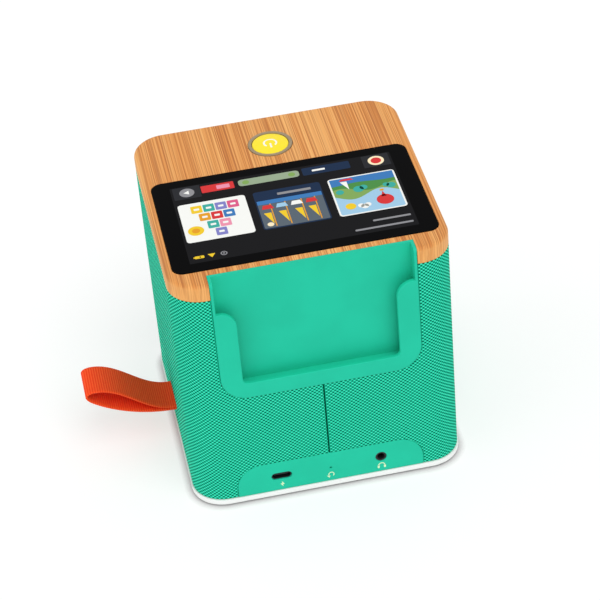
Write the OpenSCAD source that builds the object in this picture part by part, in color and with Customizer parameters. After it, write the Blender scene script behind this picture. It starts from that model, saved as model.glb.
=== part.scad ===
// Audio story player for children: a fabric-covered cube with a bamboo top,
// a touch display, one push button, a card pocket and sockets at the back,
// and a webbing loop on its side.
// Origin: on the table, at the middle of the body. +Z up, +Y to the back with
// the card pocket, +X to the side with the webbing loop. Millimetres.

/* [Body] */
// Width of the fabric-covered body
body_w = 125; // [122:0.5:132]
// Depth of the fabric-covered body
body_d = 125; // [122:0.5:132]
// Height from the table to the top of the bamboo
body_h = 124.5; // [122:0.5:134]
// Radius of the four upright corners
corner_r = 15; // [14:0.5:17]
// Thickness of the fabric sleeve with its backing
fabric_t = 1.2; // [0.8:0.1:1.5]
// Thickness of the housing's walls
wall_t = 2.4; // [2:0.1:2.8]

/* [Base] */
// How far the rubber pad stands out below the base
pad_proud = 0.5; // [0.4:0.1:1.5]
// Thickness of the rubber pad
pad_t = 1.6; // [1.2:0.1:2.4]
// Width of the rubber pad
pad_w = 84; // [70:1:88]
// Height of the white rim
rim_h = 2.95; // [2.5:0.05:3.5]
// How far the white rim stands out past the fabric
rim_proud = 0.5; // [0:0.1:1]
// Radius of the rim's lower edge
rim_edge_r = 0.8; // [0.4:0.1:1.2]

/* [Top] */
// Thickness of the bamboo top
bamboo_t = 8; // [7:0.5:10]
// Radius of the bamboo's upper edge
bamboo_edge_r = 2; // [1:0.25:3]
// Thickness of the carrier plate under the bamboo
carrier_t = 3; // [2.5:0.25:4]

/* [Display] */
// Width of the bamboo beside the cover glass
glass_side = 3.5; // [3:0.25:6]
// Distance from the front of the body to the cover glass
glass_front = 41.9; // [40:0.1:44]
// Distance from the back of the body to the cover glass
glass_back = 11.5; // [11:0.1:13]
// Corner radius of the cover glass
glass_corner_r = 5; // [3:0.5:8]
// Thickness of the cover glass
glass_t = 1.2; // [0.8:0.1:1.6]
// How far the glass stands out above the bamboo
glass_proud = 0.2; // [0:0.05:0.4]
// Dark band of glass at each side of the display panel
screen_side = 6; // [5:0.5:9]
// Dark band of glass before and behind the display panel
screen_end = 3.3; // [3:0.1:5]
// Thickness of the display panel
screen_t = 2.6; // [2:0.1:3]

/* [Button] */
// Distance from the front of the body to the middle of the push button
button_front = 24.3; // [23:0.1:25.5]
// Outer radius of the ring round the button
ring_r = 10.3; // [10:0.1:11]
// Radius of the button's cap
cap_r = 8.5; // [8:0.1:8.8]
// How far the cap stands out above the bamboo
cap_proud = 0.6; // [0.5:0.1:1.2]
// Travel of the button
press_travel = 0.6; // [0.3:0.1:0.7]

/* [Card pocket] */
// Distance from the side of the body to the card pocket
pocket_side = 17.1; // [16:0.1:17.5]
// Height of the card pocket, down from the top of the bamboo
pocket_h = 64.5; // [63:0.5:68]
// Radius of the pocket's lower corners
pocket_corner_r = 12.5; // [11:0.5:16]
// Thickness of the pocket's side walls
pocket_wall_t = 1.4; // [1.2:0.1:1.8]
// Thickness of the pocket's back wall
pocket_back_t = 1.5; // [1.2:0.1:2]
// Depth of the pocket behind the body's back
recess_depth = 6; // [5.6:0.1:6.4]
// Thickness of the lip in front of the card
lip_t = 1.8; // [1.5:0.1:2]
// Width of the lip at each side of its window
window_side = 9.9; // [7.5:0.1:12]
// Height of the band under the window
window_sill_h = 8.2; // [7.5:0.1:12]
// Corner radius of the window
window_corner_r = 2.5; // [2:0.5:5]
// How far the lip's shoulders lie below the top of the bamboo
shoulder_drop = 16.5; // [13:0.1:20]
// Radius of the lip's shoulders
shoulder_r = 7.5; // [4:0.5:8.5]
// Height of the card's stop above the pocket's lower edge
card_stop_h = 6.5; // [5:0.5:8]

/* [Ports] */
// Distance from the side of the body to the port panel
panel_side = 19.2; // [19:0.1:21]
// Height of the port panel's top edge above the table
panel_z = 19.9; // [18.4:0.1:21]
// Radius of the port panel's upper corners
panel_corner_r = 11.5; // [7:0.5:13]
// Place of the charging socket across the back
usb_x = 22.8; // [18:0.1:26]
// Height of the charging socket above the table
usb_z = 11.7; // [11.5:0.1:12]
// Height of the reset hole above the table
reset_z = 11.1; // [11:0.1:11.6]
// Radius of the reset hole
reset_hole_r = 0.6; // [0.5:0.05:0.8]
// Travel of the reset button
reset_travel = 0.25; // [0.15:0.05:0.3]
// Place of the headphone socket across the back
jack_x = -23.6; // [-26:0.1:-18]
// Height of the headphone socket above the table
jack_z = 12.1; // [12:0.1:12.4]
// Radius of the headphone socket's bore
jack_bore_r = 1.8; // [1.75:0.01:1.85]
// Length of the headphone socket's bore
jack_bore_l = 14; // [13:0.5:15]

/* [Webbing loop] */
// Width of the webbing
strap_w = 19.5; // [18:0.5:21]
// Thickness of the webbing
strap_t = 1.3; // [1:0.1:1.5]
// Height of the webbing's way out above the table
strap_z = 19; // [18:0.5:24]

/* [Speakers] */
// Distance from a speaker's frame to the housing's round corner
speaker_edge = 2.5; // [1:0.25:4]
// Distance from a speaker's frame to the middle of the front
speaker_middle = 3; // [2:0.25:5]
// Height of the speakers above the table
speaker_z = 62; // [50:0.5:75]
// Width of the frame beside a speaker's opening
speaker_band = 3; // [2.6:0.1:3.4]
// Travel of a speaker's cone to each side
cone_travel = 0.8; // [0.4:0.1:1]

/* [Hidden] */
$fn = 64;

// Gaps, each between two kinds of fit
sleeve_gap = 0.2;    // fabric to housing
end_gap = 0.15;      // fabric to the rim, the bamboo, the pocket and the panel
fit_gap = 0.3;       // a loose plate inside the housing
seat_gap = 0.15;     // a part in the recess made for it
slide_gap = 0.2;     // a moving part beside its guide
screw_gap = 0.05;    // a screw's shank in its hole
skin = 0.4;          // what a blind screw hole leaves of a wall
tip_gap = 0.2;       // a screw's tip to the end of its hole
cut = 1;             // how far a cutter runs past the face that it cuts

// Heights
base_z = pad_proud;
rim_z = base_z + rim_h;
bamboo_z = body_h - bamboo_t;
carrier_z = bamboo_z - carrier_t;

// The housing's outer and inner sizes, inwards from the fabric
shell_inset = fabric_t + sleeve_gap;
inner_inset = shell_inset + wall_t;
plate_inset = inner_inset + fit_gap;
back_y = body_d / 2;
side_x = body_w / 2;
wall_y = back_y - inner_inset;
wall_x = side_x - inner_inset;
flat_x = side_x - corner_r;      // where the flat of the front and back ends
wall_corner_r = corner_r - inner_inset;
blind_l = wall_t - skin;
bite = blind_l - tip_gap;        // how far a small screw reaches into a wall

// Screw columns in the housing's corners
column_r = 4.5;
column_in = 10;      // from the fabric's outer face to a column's middle
column_x = side_x - column_in;
column_y = back_y - column_in;
column_l = 14;
screw_r = 1.5;
screw_head_r = 2.8;
screw_head_h = 1.4;
screw_grip = 9;      // length of thread in a column
small_screw_r = 1;
small_head_r = 1.9;
small_head_h = 1.2;

// Base
base_ring_h = 4;
base_ring_t = 1.6;
base_ring_l = 80;
pad_corner_r = 12;

// Display
glass_w = body_w - 2 * glass_side;
glass_l = body_d - glass_front - glass_back;
glass_y = (glass_front - glass_back) / 2;
screen_w = glass_w - 2 * screen_side;
screen_l = glass_l - 2 * screen_end;
glass_seat = glass_t - glass_proud;
screen_z = body_h - glass_seat - screen_t;
frame_band = 5;

// Button, from the board up
button_y = button_front - back_y;
board_t = 1.2;
ring_proud = 0.3;
ring_chamfer = 0.2;
ring_ledge_w = 1.2;
cap_clear = 0.5;     // cap to switch at the end of the travel
button_board_r = ring_r - slide_gap;
button_hole_r = 4;
button_board_z = bamboo_z;
switch_z = button_board_z + board_t;
switch_w = 6;
switch_h = 3.1;
stem_r = 1.7;
stem_sink = 1.6;     // how far the stem reaches into the switch
ring_in_r = cap_r + slide_gap;
ring_ledge_r = cap_r + ring_ledge_w;
flange_r = ring_ledge_r - slide_gap;
flange_t = 1.2;
flange_z = switch_z + press_travel + cap_clear + slide_gap;
ledge_z = flange_z + flange_t + slide_gap;
cap_hollow_r = 5.5;
cap_hollow_z = switch_z + switch_h + press_travel + cap_clear;
cap_dome_h = 0.5;

// Card pocket
pocket_w = body_w - 2 * pocket_side;
pocket_z = body_h - pocket_h;
pocket_proud = 0.2;
pocket_face_y = back_y + pocket_proud;
recess_y = back_y - recess_depth;
pocket_back_y = recess_y - pocket_back_t;
lip_y = pocket_face_y - lip_t;
cavity_w = pocket_w - 2 * pocket_wall_t;
window_w = pocket_w - 2 * window_side;
shoulder_z = body_h - shoulder_drop;
ear_w = 6;
ear_h = 8;
ear_t = 2;
ear_up = 13;
ear_pitch = 20;
ear_zs = [pocket_z + ear_up, pocket_z + ear_up + ear_pitch];
ear_x = pocket_w / 2 + ear_w;
// How far an ear's end is drawn back from the wall, which is round there
ear_bevel = wall_corner_r - sqrt(pow(wall_corner_r, 2) - pow(ear_x - flat_x, 2)) + seat_gap;
reader_w = 70;
reader_t = 0.8;
reader_up = 12;
reader_down = 5.5;
reader_z = pocket_z + reader_up;
reader_h = carrier_z - reader_down - reader_z;

// Port panel and its board
panel_w = body_w - 2 * panel_side;
panel_face_y = back_y + pocket_proud;
flange_margin = 4;
flange_depth = 2;
flange_y = wall_y - flange_depth;
panel_screw_x = 25;
panel_screw_z = panel_z + flange_margin / 2;
usb_w = 8.94;
usb_h = 3.26;
usb_l = 10;
usb_wall = 0.3;
usb_back_t = 1;
usb_recess = 0.6;
usb_mouth_y = panel_face_y - usb_recess;
usb_cut_gap = 0.3;
tongue_w = 6.7;
tongue_t = 0.7;
port_board_z = usb_z - usb_h / 2 - board_t;
port_board_top = port_board_z + board_t;
port_board_w = 68;
port_board_l = 24;
port_board_y = flange_y - fit_gap - port_board_l;
post_r = 2.6;
port_post_x = 30;
port_post_in = 5;
port_post_y = port_board_y + port_post_in;
jack_nozzle_r = 2.5;
jack_recess = 0.4;
jack_hole_r = 2.6;
jack_body_w = 7;
jack_body_h = 5.2;
jack_back_t = 2;
jack_mouth_y = panel_face_y - jack_recess;
jack_front_y = flange_y - slide_gap;
jack_body_y = jack_mouth_y - jack_bore_l - jack_back_t;
reset_pin_r = 0.9;
reset_pin_l = 3.2;
reset_pin_sink = 1.2;    // how far the pin stands in its switch
reset_room = 0.5;        // panel to pin, all round
reset_switch_w = 5;
reset_switch_l = 3.5;
reset_switch_h = 3;
reset_switch_y = flange_y - fit_gap - reset_switch_l;
reset_pin_y = reset_switch_y + reset_switch_l - reset_pin_sink;

// Webbing loop: Bezier points from its way out of the body, outwards and up
strap_rise_points = [[0, strap_t / 2], [14, 0], [22, 16.5], [35.5, 17.4]];
strap_tip_points = [[35.5, 17.4], [40, 17.7], [43.4, 15.5], [37.8, 11.3]];
strap_fall_points = [[37.8, 11.3], [33.8, 8.3], [20, -strap_t / 2], [0, -strap_t / 2]];
strap_steps = 12;
strap_open_from = 0.1;   // share of the rise where the two layers part
strap_tail = 12.5;
strap_slot_gap = 0.4;
clamp_l = 8;
clamp_side = 6;
clamp_w = strap_w + 2 * clamp_side;
clamp_h = 9;
clamp_screw_y = (strap_w + clamp_side) / 2;

// Main board under the carrier
main_w = 90;
main_l = 60;
main_y = -20;
main_t = 1.6;
main_gap = 8;
main_z = carrier_z - main_gap - main_t;
main_post_in = 4;
main_post_blind = 2;
can_w = 34;
can_l = 26;
can_h = 2.4;

// Battery
cell_r = 9.2;
cell_l = 65;
cell_gap = 0.6;
cell_y = -14;
tray_floor = 1.2;
tray_wall = 2.4;
tray_h = 9;
cell_z = rim_z + tray_floor + cell_r;
tray_w = cell_l + 2 * (tray_wall + cell_gap);
tray_l = 4 * cell_r + cell_gap + 2 * tray_wall;
tray_ear = 7;
tray_ear_t = 2;

// Speakers, from the front wall inwards
speaker_w = flat_x - speaker_edge - speaker_middle;
speaker_x = speaker_middle + speaker_w / 2;
speaker_hole_r = speaker_w / 2 - speaker_band;
grille_t = 1.4;
grille_ledge = 1.5;
grille_hole_r = 1.1;
grille_pitch = 3.4;
gasket_t = 1.4;
speaker_corner_r = 4;
frame_t = 1.2;
frame_y = -wall_y + gasket_t;
frame_hole_r = speaker_hole_r - 0.8;
surround_in_r = speaker_hole_r - 2.5;
surround_t = 0.5;
cone_r = surround_in_r - slide_gap - 0.1;
basket_l = 9;
basket_window_w = 10;
basket_back_r = 11;
basket_t = 1.2;
magnet_r = 10.5;
magnet_l = 7;
magnet_plate_t = 1.5;
magnet_core = 2;     // how far the magnet's core stands into the basket
coil_r = 6.9;
coil_t = 0.6;
coil_gap = 0.4;
cone_t = 0.8;
cone_depth = 4.4;
cone_front = 0.4;    // from the frame's front face to the cone's rim, inwards
speaker_screw_in = 3;

mint = [0.16, 0.79, 0.65];
white = [0.95, 0.95, 0.94];
wood = [0.86, 0.62, 0.36];
steel = [0.72, 0.73, 0.75];
board_green = [0.1, 0.4, 0.22];

// ---------- Shared forms ----------

// A rectangle with round corners
module round_rect(w, l, r) {
    square([w - 2 * r, l], center = true);
    square([w, l - 2 * r], center = true);
    for (x = [-1, 1], y = [-1, 1])
        translate([x * (w / 2 - r), y * (l / 2 - r)]) circle(r);
}

// The body's outline, drawn in by an inset
module outline(inset) {
    round_rect(body_w - 2 * inset, body_d - 2 * inset, corner_r - inset);
}

// A section with its two upper corners rounded
module edge_section(half, h, edge_r) {
    translate([-half, 0]) square([2 * half, h - edge_r]);
    translate([-half + edge_r, 0]) square([2 * (half - edge_r), h]);
    for (s = [-1, 1]) translate([s * (half - edge_r), h - edge_r]) circle(edge_r);
}

// A plate of the body's outline whose top edge is rounded
module soft_edge_plate(inset, h, edge_r) {
    w = body_w - 2 * inset;
    l = body_d - 2 * inset;
    r = corner_r - inset;
    rotate([90, 0, 0]) linear_extrude(l - 2 * r, center = true) edge_section(w / 2, h, edge_r);
    rotate([90, 0, 90]) linear_extrude(w - 2 * r, center = true) edge_section(l / 2, h, edge_r);
    for (x = [-1, 1], y = [-1, 1]) translate([x * (w / 2 - r), y * (l / 2 - r), 0])
        rotate_extrude() intersection() {
            edge_section(r, h, edge_r);
            square([r, h]);
        }
}

// A drawing in the XZ plane, carried along Y from y0 to y1
module across_y(y0, y1) {
    translate([0, y1, 0]) rotate([90, 0, 0]) linear_extrude(y1 - y0) children();
}

// A rod along Y from y0 to y1
module rod_y(x, z, r, y0, y1) {
    translate([x, y0, z]) rotate([-90, 0, 0]) cylinder(r = r, h = y1 - y0);
}

// A screw whose head's underside lies at the origin, with its shank along +Z
module screw(r, head_r, head_h, l) {
    cylinder(r = r, h = l);
    translate([0, 0, -head_h]) difference() {
        cylinder(r = head_r, h = head_h);
        translate([0, 0, -cut]) cylinder(r = r * 0.7, h = head_h / 2 + cut);
    }
}

module small_screw(l) {
    screw(small_screw_r, small_head_r, small_head_h, l);
}

module at_columns() {
    for (x = [-1, 1], y = [-1, 1]) translate([x * column_x, y * column_y, 0]) children();
}

// ---------- Base ----------

base_screw_z = rim_z - 1;

module base_cover() {
    color(white) difference() {
        union() {
            translate([0, 0, rim_z]) mirror([0, 0, 1])
                soft_edge_plate(-rim_proud, rim_h, rim_edge_r);
            // Locating walls inside the housing, at the front and the sides
            translate([0, 0, rim_z]) linear_extrude(base_ring_h) intersection() {
                difference() {
                    outline(plate_inset);
                    outline(plate_inset + base_ring_t);
                }
                union() {
                    translate([0, -back_y]) square([base_ring_l, body_d / 2], center = true);
                    for (s = [-1, 1]) translate([s * side_x, 0])
                        square([body_w / 2, base_ring_l], center = true);
                }
            }
            // Posts under the port board
            for (s = [-1, 1]) translate([s * port_post_x, port_post_y, rim_z])
                cylinder(r = post_r, h = port_board_z - rim_z);
        }
        translate([0, 0, base_z - cut]) linear_extrude(pad_t - pad_proud + cut)
            round_rect(pad_w + 2 * seat_gap, pad_w + 2 * seat_gap, pad_corner_r + seat_gap);
        at_columns() translate([0, 0, base_z - cut]) {
            cylinder(r = screw_r + screw_gap, h = rim_h + 2 * cut);
            cylinder(r = screw_head_r + slide_gap, h = base_screw_z - base_z + cut);
        }
        for (s = [-1, 1]) translate([s * port_post_x, port_post_y, rim_z + skin])
            cylinder(r = small_screw_r + screw_gap, h = port_board_z);
        for (s = [-1, 1]) translate([s * tray_screw_x, cell_y, pad_t + skin])
            cylinder(r = small_screw_r + screw_gap, h = rim_h);
    }
}

module rubber_pad() {
    color("dimgray") linear_extrude(pad_t) round_rect(pad_w, pad_w, pad_corner_r);
}

module base_screws() {
    color(steel) at_columns() translate([0, 0, base_screw_z])
        screw(screw_r, screw_head_r, screw_head_h, screw_grip + rim_z - base_screw_z);
}

// ---------- Housing and fabric ----------

// Outline of the card pocket as seen from behind, grown by a margin
module pocket_outline(grow) {
    w = pocket_w + 2 * grow;
    r = pocket_corner_r + grow;
    low = pocket_z - grow;
    translate([-w / 2, low + r]) square([w, body_h - low]);
    translate([-w / 2 + r, low]) square([w - 2 * r, 2 * r]);
    for (s = [-1, 1]) translate([s * (w / 2 - r), low + r]) circle(r);
}

// Outline of the port panel as seen from behind, grown by a margin
module panel_outline(grow) {
    w = panel_w + 2 * grow;
    r = panel_corner_r + grow;
    high = panel_z + grow;
    translate([-w / 2, rim_z]) square([w, high - r - rim_z]);
    translate([-w / 2 + r, rim_z]) square([w - 2 * r, high - rim_z]);
    for (s = [-1, 1]) translate([s * (w / 2 - r), high - r]) circle(r);
}

// The webbing's slot through the housing's side
module strap_slot(gap) {
    h = 2 * strap_t + 2 * gap;
    translate([side_x - inner_inset - cut, -strap_w / 2 - gap, strap_z - h / 2])
        cube([inner_inset + 2 * cut, strap_w + 2 * gap, h]);
}

// Everything that the back of a wall is cut for
module back_cuts() {
    across_y(back_y - inner_inset - cut, back_y + cut) {
        pocket_outline(end_gap);
        difference() {
            panel_outline(end_gap);
            translate([-body_w / 2, 0]) square([body_w, rim_z]);
        }
        translate([-panel_w / 2 - end_gap, rim_z - cut]) square([panel_w + 2 * end_gap, 2 * cut]);
    }
}

module speaker_places() {
    for (s = [-1, 1]) translate([s * speaker_x, 0, speaker_z]) children();
}

module housing_shell() {
    color("silver") difference() {
        union() {
            translate([0, 0, rim_z]) linear_extrude(bamboo_z - rim_z) difference() {
                outline(shell_inset);
                outline(inner_inset);
            }
            at_columns() {
                translate([0, 0, rim_z]) cylinder(r = column_r, h = column_l);
                translate([0, 0, carrier_z - column_l]) cylinder(r = column_r, h = column_l);
            }
        }
        back_cuts();
        strap_slot(strap_slot_gap);
        at_columns() {
            translate([0, 0, rim_z - cut])
                cylinder(r = screw_r + screw_gap, h = screw_grip + cut + screw_gap);
            translate([0, 0, carrier_z - screw_grip - screw_gap])
                cylinder(r = screw_r + screw_gap, h = screw_grip + cut);
        }
        speaker_places() {
            rod_y(0, 0, speaker_hole_r - grille_ledge, -back_y, -wall_y + cut);
            rod_y(0, 0, speaker_hole_r, -back_y, -back_y + shell_inset + grille_t);
        }
        for (s = [-1, 1]) {
            for (z = ear_zs) rod_y(s * (ear_x - ear_w / 2), z,
                small_screw_r + screw_gap, wall_y - cut, wall_y + blind_l);
            rod_y(s * panel_screw_x, panel_screw_z,
                small_screw_r + screw_gap, wall_y - cut, wall_y + blind_l);
            translate([wall_x - cut, s * clamp_screw_y, strap_z]) rotate([0, 90, 0])
                cylinder(r = small_screw_r + screw_gap, h = cut + blind_l);
        }
        speaker_places() for (x = [-1, 1], z = [-1, 1])
            rod_y(x * speaker_screw_out, z * speaker_screw_out, small_screw_r + screw_gap,
                -wall_y - blind_l, -wall_y + cut);
    }
}

module fabric_sleeve() {
    seam_w = 0.5;
    seam_depth = 0.6;
    color(mint) difference() {
        translate([0, 0, rim_z + end_gap])
            linear_extrude(bamboo_z - rim_z - 2 * end_gap) difference() {
                outline(0);
                outline(fabric_t);
            }
        back_cuts();
        strap_slot(strap_slot_gap);
        // The seam where the sleeve's two ends meet, between panel and pocket
        translate([-seam_w / 2, back_y - seam_depth, panel_z])
            cube([seam_w, seam_depth + cut, pocket_z - panel_z]);
    }
}

// ---------- Top ----------

// The notch for the card pocket in what lies above and beside it
module pocket_notch(z0, z1) {
    translate([-pocket_w / 2 - end_gap, pocket_back_y - end_gap, z0])
        cube([pocket_w + 2 * end_gap, back_y, z1 - z0]);
}

module bamboo_top() {
    opening_w = screen_w + 2 * seat_gap;
    opening_l = screen_l + 2 * seat_gap;
    color(wood) difference() {
        translate([0, 0, bamboo_z]) soft_edge_plate(0, bamboo_t, bamboo_edge_r);
        translate([0, glass_y, body_h - glass_seat]) linear_extrude(glass_seat + cut)
            round_rect(glass_w + 2 * seat_gap, glass_l + 2 * seat_gap, glass_corner_r + seat_gap);
        translate([-opening_w / 2, glass_y - opening_l / 2, bamboo_z - cut])
            cube([opening_w, opening_l, bamboo_t + 2 * cut]);
        translate([0, button_y, bamboo_z - cut])
            cylinder(r = ring_r + seat_gap, h = bamboo_t + 2 * cut);
        pocket_notch(bamboo_z - cut, body_h + cut);
    }
}

module top_carrier() {
    opening_w = screen_w - 4 * frame_band;
    opening_l = screen_l - 4 * frame_band;
    color("gainsboro") difference() {
        union() {
            translate([0, 0, carrier_z]) linear_extrude(carrier_t) outline(plate_inset);
            at_main_posts() translate([0, 0, carrier_z - main_gap])
                cylinder(r = post_r, h = main_gap);
        }
        pocket_notch(carrier_z - cut, bamboo_z + cut);
        translate([-opening_w / 2, glass_y - opening_l / 2, carrier_z - cut])
            cube([opening_w, opening_l, carrier_t + 2 * cut]);
        translate([0, button_y, carrier_z - cut])
            cylinder(r = button_hole_r, h = carrier_t + 2 * cut);
        at_columns() translate([0, 0, carrier_z - cut]) {
            cylinder(r = screw_r + screw_gap, h = carrier_t + 2 * cut);
            translate([0, 0, cut + carrier_t - screw_head_h])
                cylinder(r = screw_head_r + slide_gap, h = screw_head_h + cut);
        }
        at_main_posts() translate([0, 0, carrier_z - main_gap - cut])
            cylinder(r = small_screw_r + screw_gap, h = main_gap + cut);
    }
}

module carrier_screws() {
    color(steel) at_columns() translate([0, 0, bamboo_z - screw_head_h]) mirror([0, 0, 1])
        screw(screw_r, screw_head_r, screw_head_h, screw_grip + carrier_t - screw_head_h);
}

module display_glass() {
    color([0.03, 0.03, 0.04]) translate([0, glass_y, body_h - glass_seat])
        linear_extrude(glass_t) round_rect(glass_w, glass_l, glass_corner_r);
}

module display_panel() {
    color([0.2, 0.2, 0.22]) translate([-screen_w / 2, glass_y - screen_l / 2, screen_z])
        cube([screen_w, screen_l, screen_t]);
}

module display_frame() {
    color(steel) translate([0, glass_y, bamboo_z]) linear_extrude(screen_z - bamboo_z)
        difference() {
            square([screen_w, screen_l], center = true);
            square([screen_w - 2 * frame_band, screen_l - 2 * frame_band], center = true);
        }
}

// ---------- Button ----------

// A ring with a ledge that keeps the cap in
module button_ring() {
    color([0.55, 0.52, 0.42]) translate([0, button_y, 0]) rotate_extrude() polygon([
        [ring_ledge_r, switch_z], [ring_r, switch_z],
        [ring_r, body_h + ring_proud - ring_chamfer],
        [ring_r - ring_chamfer, body_h + ring_proud],
        [ring_in_r, body_h + ring_proud], [ring_in_r, ledge_z], [ring_ledge_r, ledge_z]]);
}

// A hollow cap with a flange under the ring's ledge and a slightly domed face
module button_cap() {
    top_z = body_h + cap_proud;
    dome = [for (i = [0:6]) [cap_r * i / 6, top_z - cap_dome_h * pow(i / 6, 2)]];
    color([0.98, 0.86, 0.12]) translate([0, button_y, 0]) rotate_extrude()
        polygon(concat(dome, [
            [cap_r, flange_z + flange_t], [flange_r, flange_z + flange_t],
            [flange_r, flange_z], [cap_hollow_r, flange_z],
            [cap_hollow_r, cap_hollow_z], [0, cap_hollow_z]]));
}

module button_stem() {
    color([0.2, 0.2, 0.2]) translate([0, button_y, switch_z + switch_h - stem_sink])
        cylinder(r = stem_r, h = cap_hollow_z - switch_z - switch_h + stem_sink);
}

module button_switch() {
    color([0.15, 0.15, 0.16]) translate([0, button_y, switch_z]) difference() {
        translate([-switch_w / 2, -switch_w / 2, 0]) cube([switch_w, switch_w, switch_h]);
        translate([0, 0, switch_h - stem_sink - press_travel - slide_gap])
            cylinder(r = stem_r + slide_gap, h = switch_h);
    }
}

module button_board() {
    color(board_green) translate([0, button_y, button_board_z])
        cylinder(r = button_board_r, h = board_t);
}

// ---------- Card pocket ----------

// What is open in the lip: the window, and the full width above the shoulders
module lip_opening() {
    low = pocket_z + window_sill_h;
    top = body_h + cut;
    half = window_w / 2;
    translate([-half, low + window_corner_r]) square([window_w, top - low]);
    translate([-half + window_corner_r, low])
        square([window_w - 2 * window_corner_r, 2 * window_corner_r]);
    for (s = [-1, 1])
        translate([s * (half - window_corner_r), low + window_corner_r])
            circle(window_corner_r);
    translate([-cavity_w / 2, shoulder_z]) square([cavity_w, top - shoulder_z]);
    for (s = [-1, 1]) difference() {
        translate([s * (half + shoulder_r / 2), shoulder_z - shoulder_r / 2])
            square(shoulder_r, center = true);
        translate([s * (half + shoulder_r), shoulder_z - shoulder_r]) circle(shoulder_r);
    }
}

module card_pocket() {
    color(mint) {
        difference() {
            intersection() {
                across_y(pocket_back_y, pocket_face_y) pocket_outline(0);
                soft_edge_plate(-pocket_proud, body_h, bamboo_edge_r);
            }
            // The space that the card drops into
            across_y(recess_y, lip_y) intersection() {
                pocket_outline(-pocket_wall_t);
                translate([-body_w / 2, pocket_z + card_stop_h]) square([body_w, body_h]);
            }
            across_y(lip_y - cut, pocket_face_y + cut) lip_opening();
            across_y(recess_y, lip_y) translate([-cavity_w / 2, shoulder_z])
                square([cavity_w, body_h]);
        }
        // Ears that are screwed to the inside of the housing's back wall
        for (m = [0, 1], z = ear_zs) mirror([m, 0, 0]) difference() {
            translate([0, 0, z - ear_h / 2]) linear_extrude(ear_h) polygon([
                [cavity_w / 2 + seat_gap, wall_y - ear_t], [ear_x, wall_y - ear_t],
                [ear_x, wall_y - ear_bevel], [flat_x, wall_y],
                [cavity_w / 2 + seat_gap, wall_y]]);
            rod_y(ear_x - ear_w / 2, z, small_screw_r + screw_gap,
                wall_y - ear_t - cut, wall_y + cut);
        }
    }
}

module pocket_screws() {
    color(steel) for (s = [-1, 1], z = ear_zs)
        translate([s * (ear_x - ear_w / 2), wall_y - ear_t, z]) rotate([-90, 0, 0])
            small_screw(ear_t + bite);
}

module card_reader_board() {
    color(board_green) translate([-reader_w / 2, pocket_back_y - reader_t, reader_z])
        cube([reader_w, reader_t, reader_h]);
}

// ---------- Port panel ----------

// A slot with round ends, drawn round a point in the XZ plane
module round_slot(x, z, w, h) {
    translate([x, z]) {
        square([w - h, h], center = true);
        for (s = [-1, 1]) translate([s * (w - h) / 2, 0]) circle(h / 2);
    }
}

module port_panel() {
    pin_room_r = reset_pin_r + reset_room;
    pin_room_y = reset_pin_y + reset_pin_l + reset_room;
    color(mint) difference() {
        union() {
            across_y(wall_y, panel_face_y) intersection() {
                panel_outline(0);
                translate([-body_w / 2, rim_z + end_gap]) square([body_w, body_h]);
            }
            across_y(flange_y, wall_y) intersection() {
                panel_outline(flange_margin);
                translate([-body_w / 2, rim_z + end_gap]) square([body_w, body_h]);
            }
        }
        across_y(flange_y - cut, panel_face_y + cut)
            round_slot(usb_x, usb_z, usb_w + 2 * usb_cut_gap, usb_h + 2 * usb_cut_gap);
        rod_y(jack_x, jack_z, jack_hole_r, flange_y - cut, panel_face_y + cut);
        rod_y(0, reset_z, reset_hole_r, flange_y - cut, panel_face_y + cut);
        rod_y(0, reset_z, pin_room_r, flange_y - cut, pin_room_y);
        for (s = [-1, 1]) rod_y(s * panel_screw_x, panel_screw_z,
            small_screw_r + screw_gap, flange_y - cut, wall_y + cut);
    }
}

module panel_screws() {
    color(steel) for (s = [-1, 1])
        translate([s * panel_screw_x, flange_y, panel_screw_z])
            rotate([-90, 0, 0]) small_screw(flange_depth + bite);
}

module port_board() {
    color(board_green) difference() {
        translate([-port_board_w / 2, port_board_y, port_board_z])
            cube([port_board_w, port_board_l, board_t]);
        for (s = [-1, 1]) translate([s * port_post_x, port_post_y, port_board_z - cut])
            cylinder(r = small_screw_r + screw_gap, h = board_t + 2 * cut);
    }
}

module port_board_screws() {
    color(steel) for (s = [-1, 1]) translate([s * port_post_x, port_post_y, port_board_top])
        mirror([0, 0, 1]) small_screw(port_board_top - rim_z - skin - tip_gap);
}

module usb_socket() {
    color(steel) difference() {
        across_y(usb_mouth_y - usb_l, usb_mouth_y) round_slot(usb_x, usb_z, usb_w, usb_h);
        across_y(usb_mouth_y - usb_l + usb_back_t, usb_mouth_y + cut)
            round_slot(usb_x, usb_z, usb_w - 2 * usb_wall, usb_h - 2 * usb_wall);
    }
}

module usb_tongue() {
    tongue_y = usb_mouth_y - usb_l + usb_back_t;
    color([0.12, 0.12, 0.12])
        translate([usb_x - tongue_w / 2, tongue_y, usb_z - tongue_t / 2])
            cube([tongue_w, usb_l - 2 * usb_back_t, tongue_t]);
}

module headphone_socket() {
    color([0.1, 0.1, 0.1]) difference() {
        union() {
            translate([jack_x - jack_body_w / 2, jack_body_y, port_board_top])
                cube([jack_body_w, jack_front_y - jack_body_y, jack_body_h]);
            rod_y(jack_x, jack_z, jack_nozzle_r, jack_front_y, jack_mouth_y);
        }
        rod_y(jack_x, jack_z, jack_bore_r, jack_mouth_y - jack_bore_l, jack_mouth_y + cut);
    }
}

module reset_switch() {
    color([0.15, 0.15, 0.16]) difference() {
        translate([-reset_switch_w / 2, reset_switch_y, port_board_top])
            cube([reset_switch_w, reset_switch_l, reset_switch_h]);
        rod_y(0, reset_z, reset_pin_r + slide_gap / 2,
            reset_pin_y - reset_travel - slide_gap, reset_switch_y + reset_switch_l + cut);
    }
}

module reset_button() {
    color([0.9, 0.9, 0.88])
        rod_y(0, reset_z, reset_pin_r, reset_pin_y, reset_pin_y + reset_pin_l);
}

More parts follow.
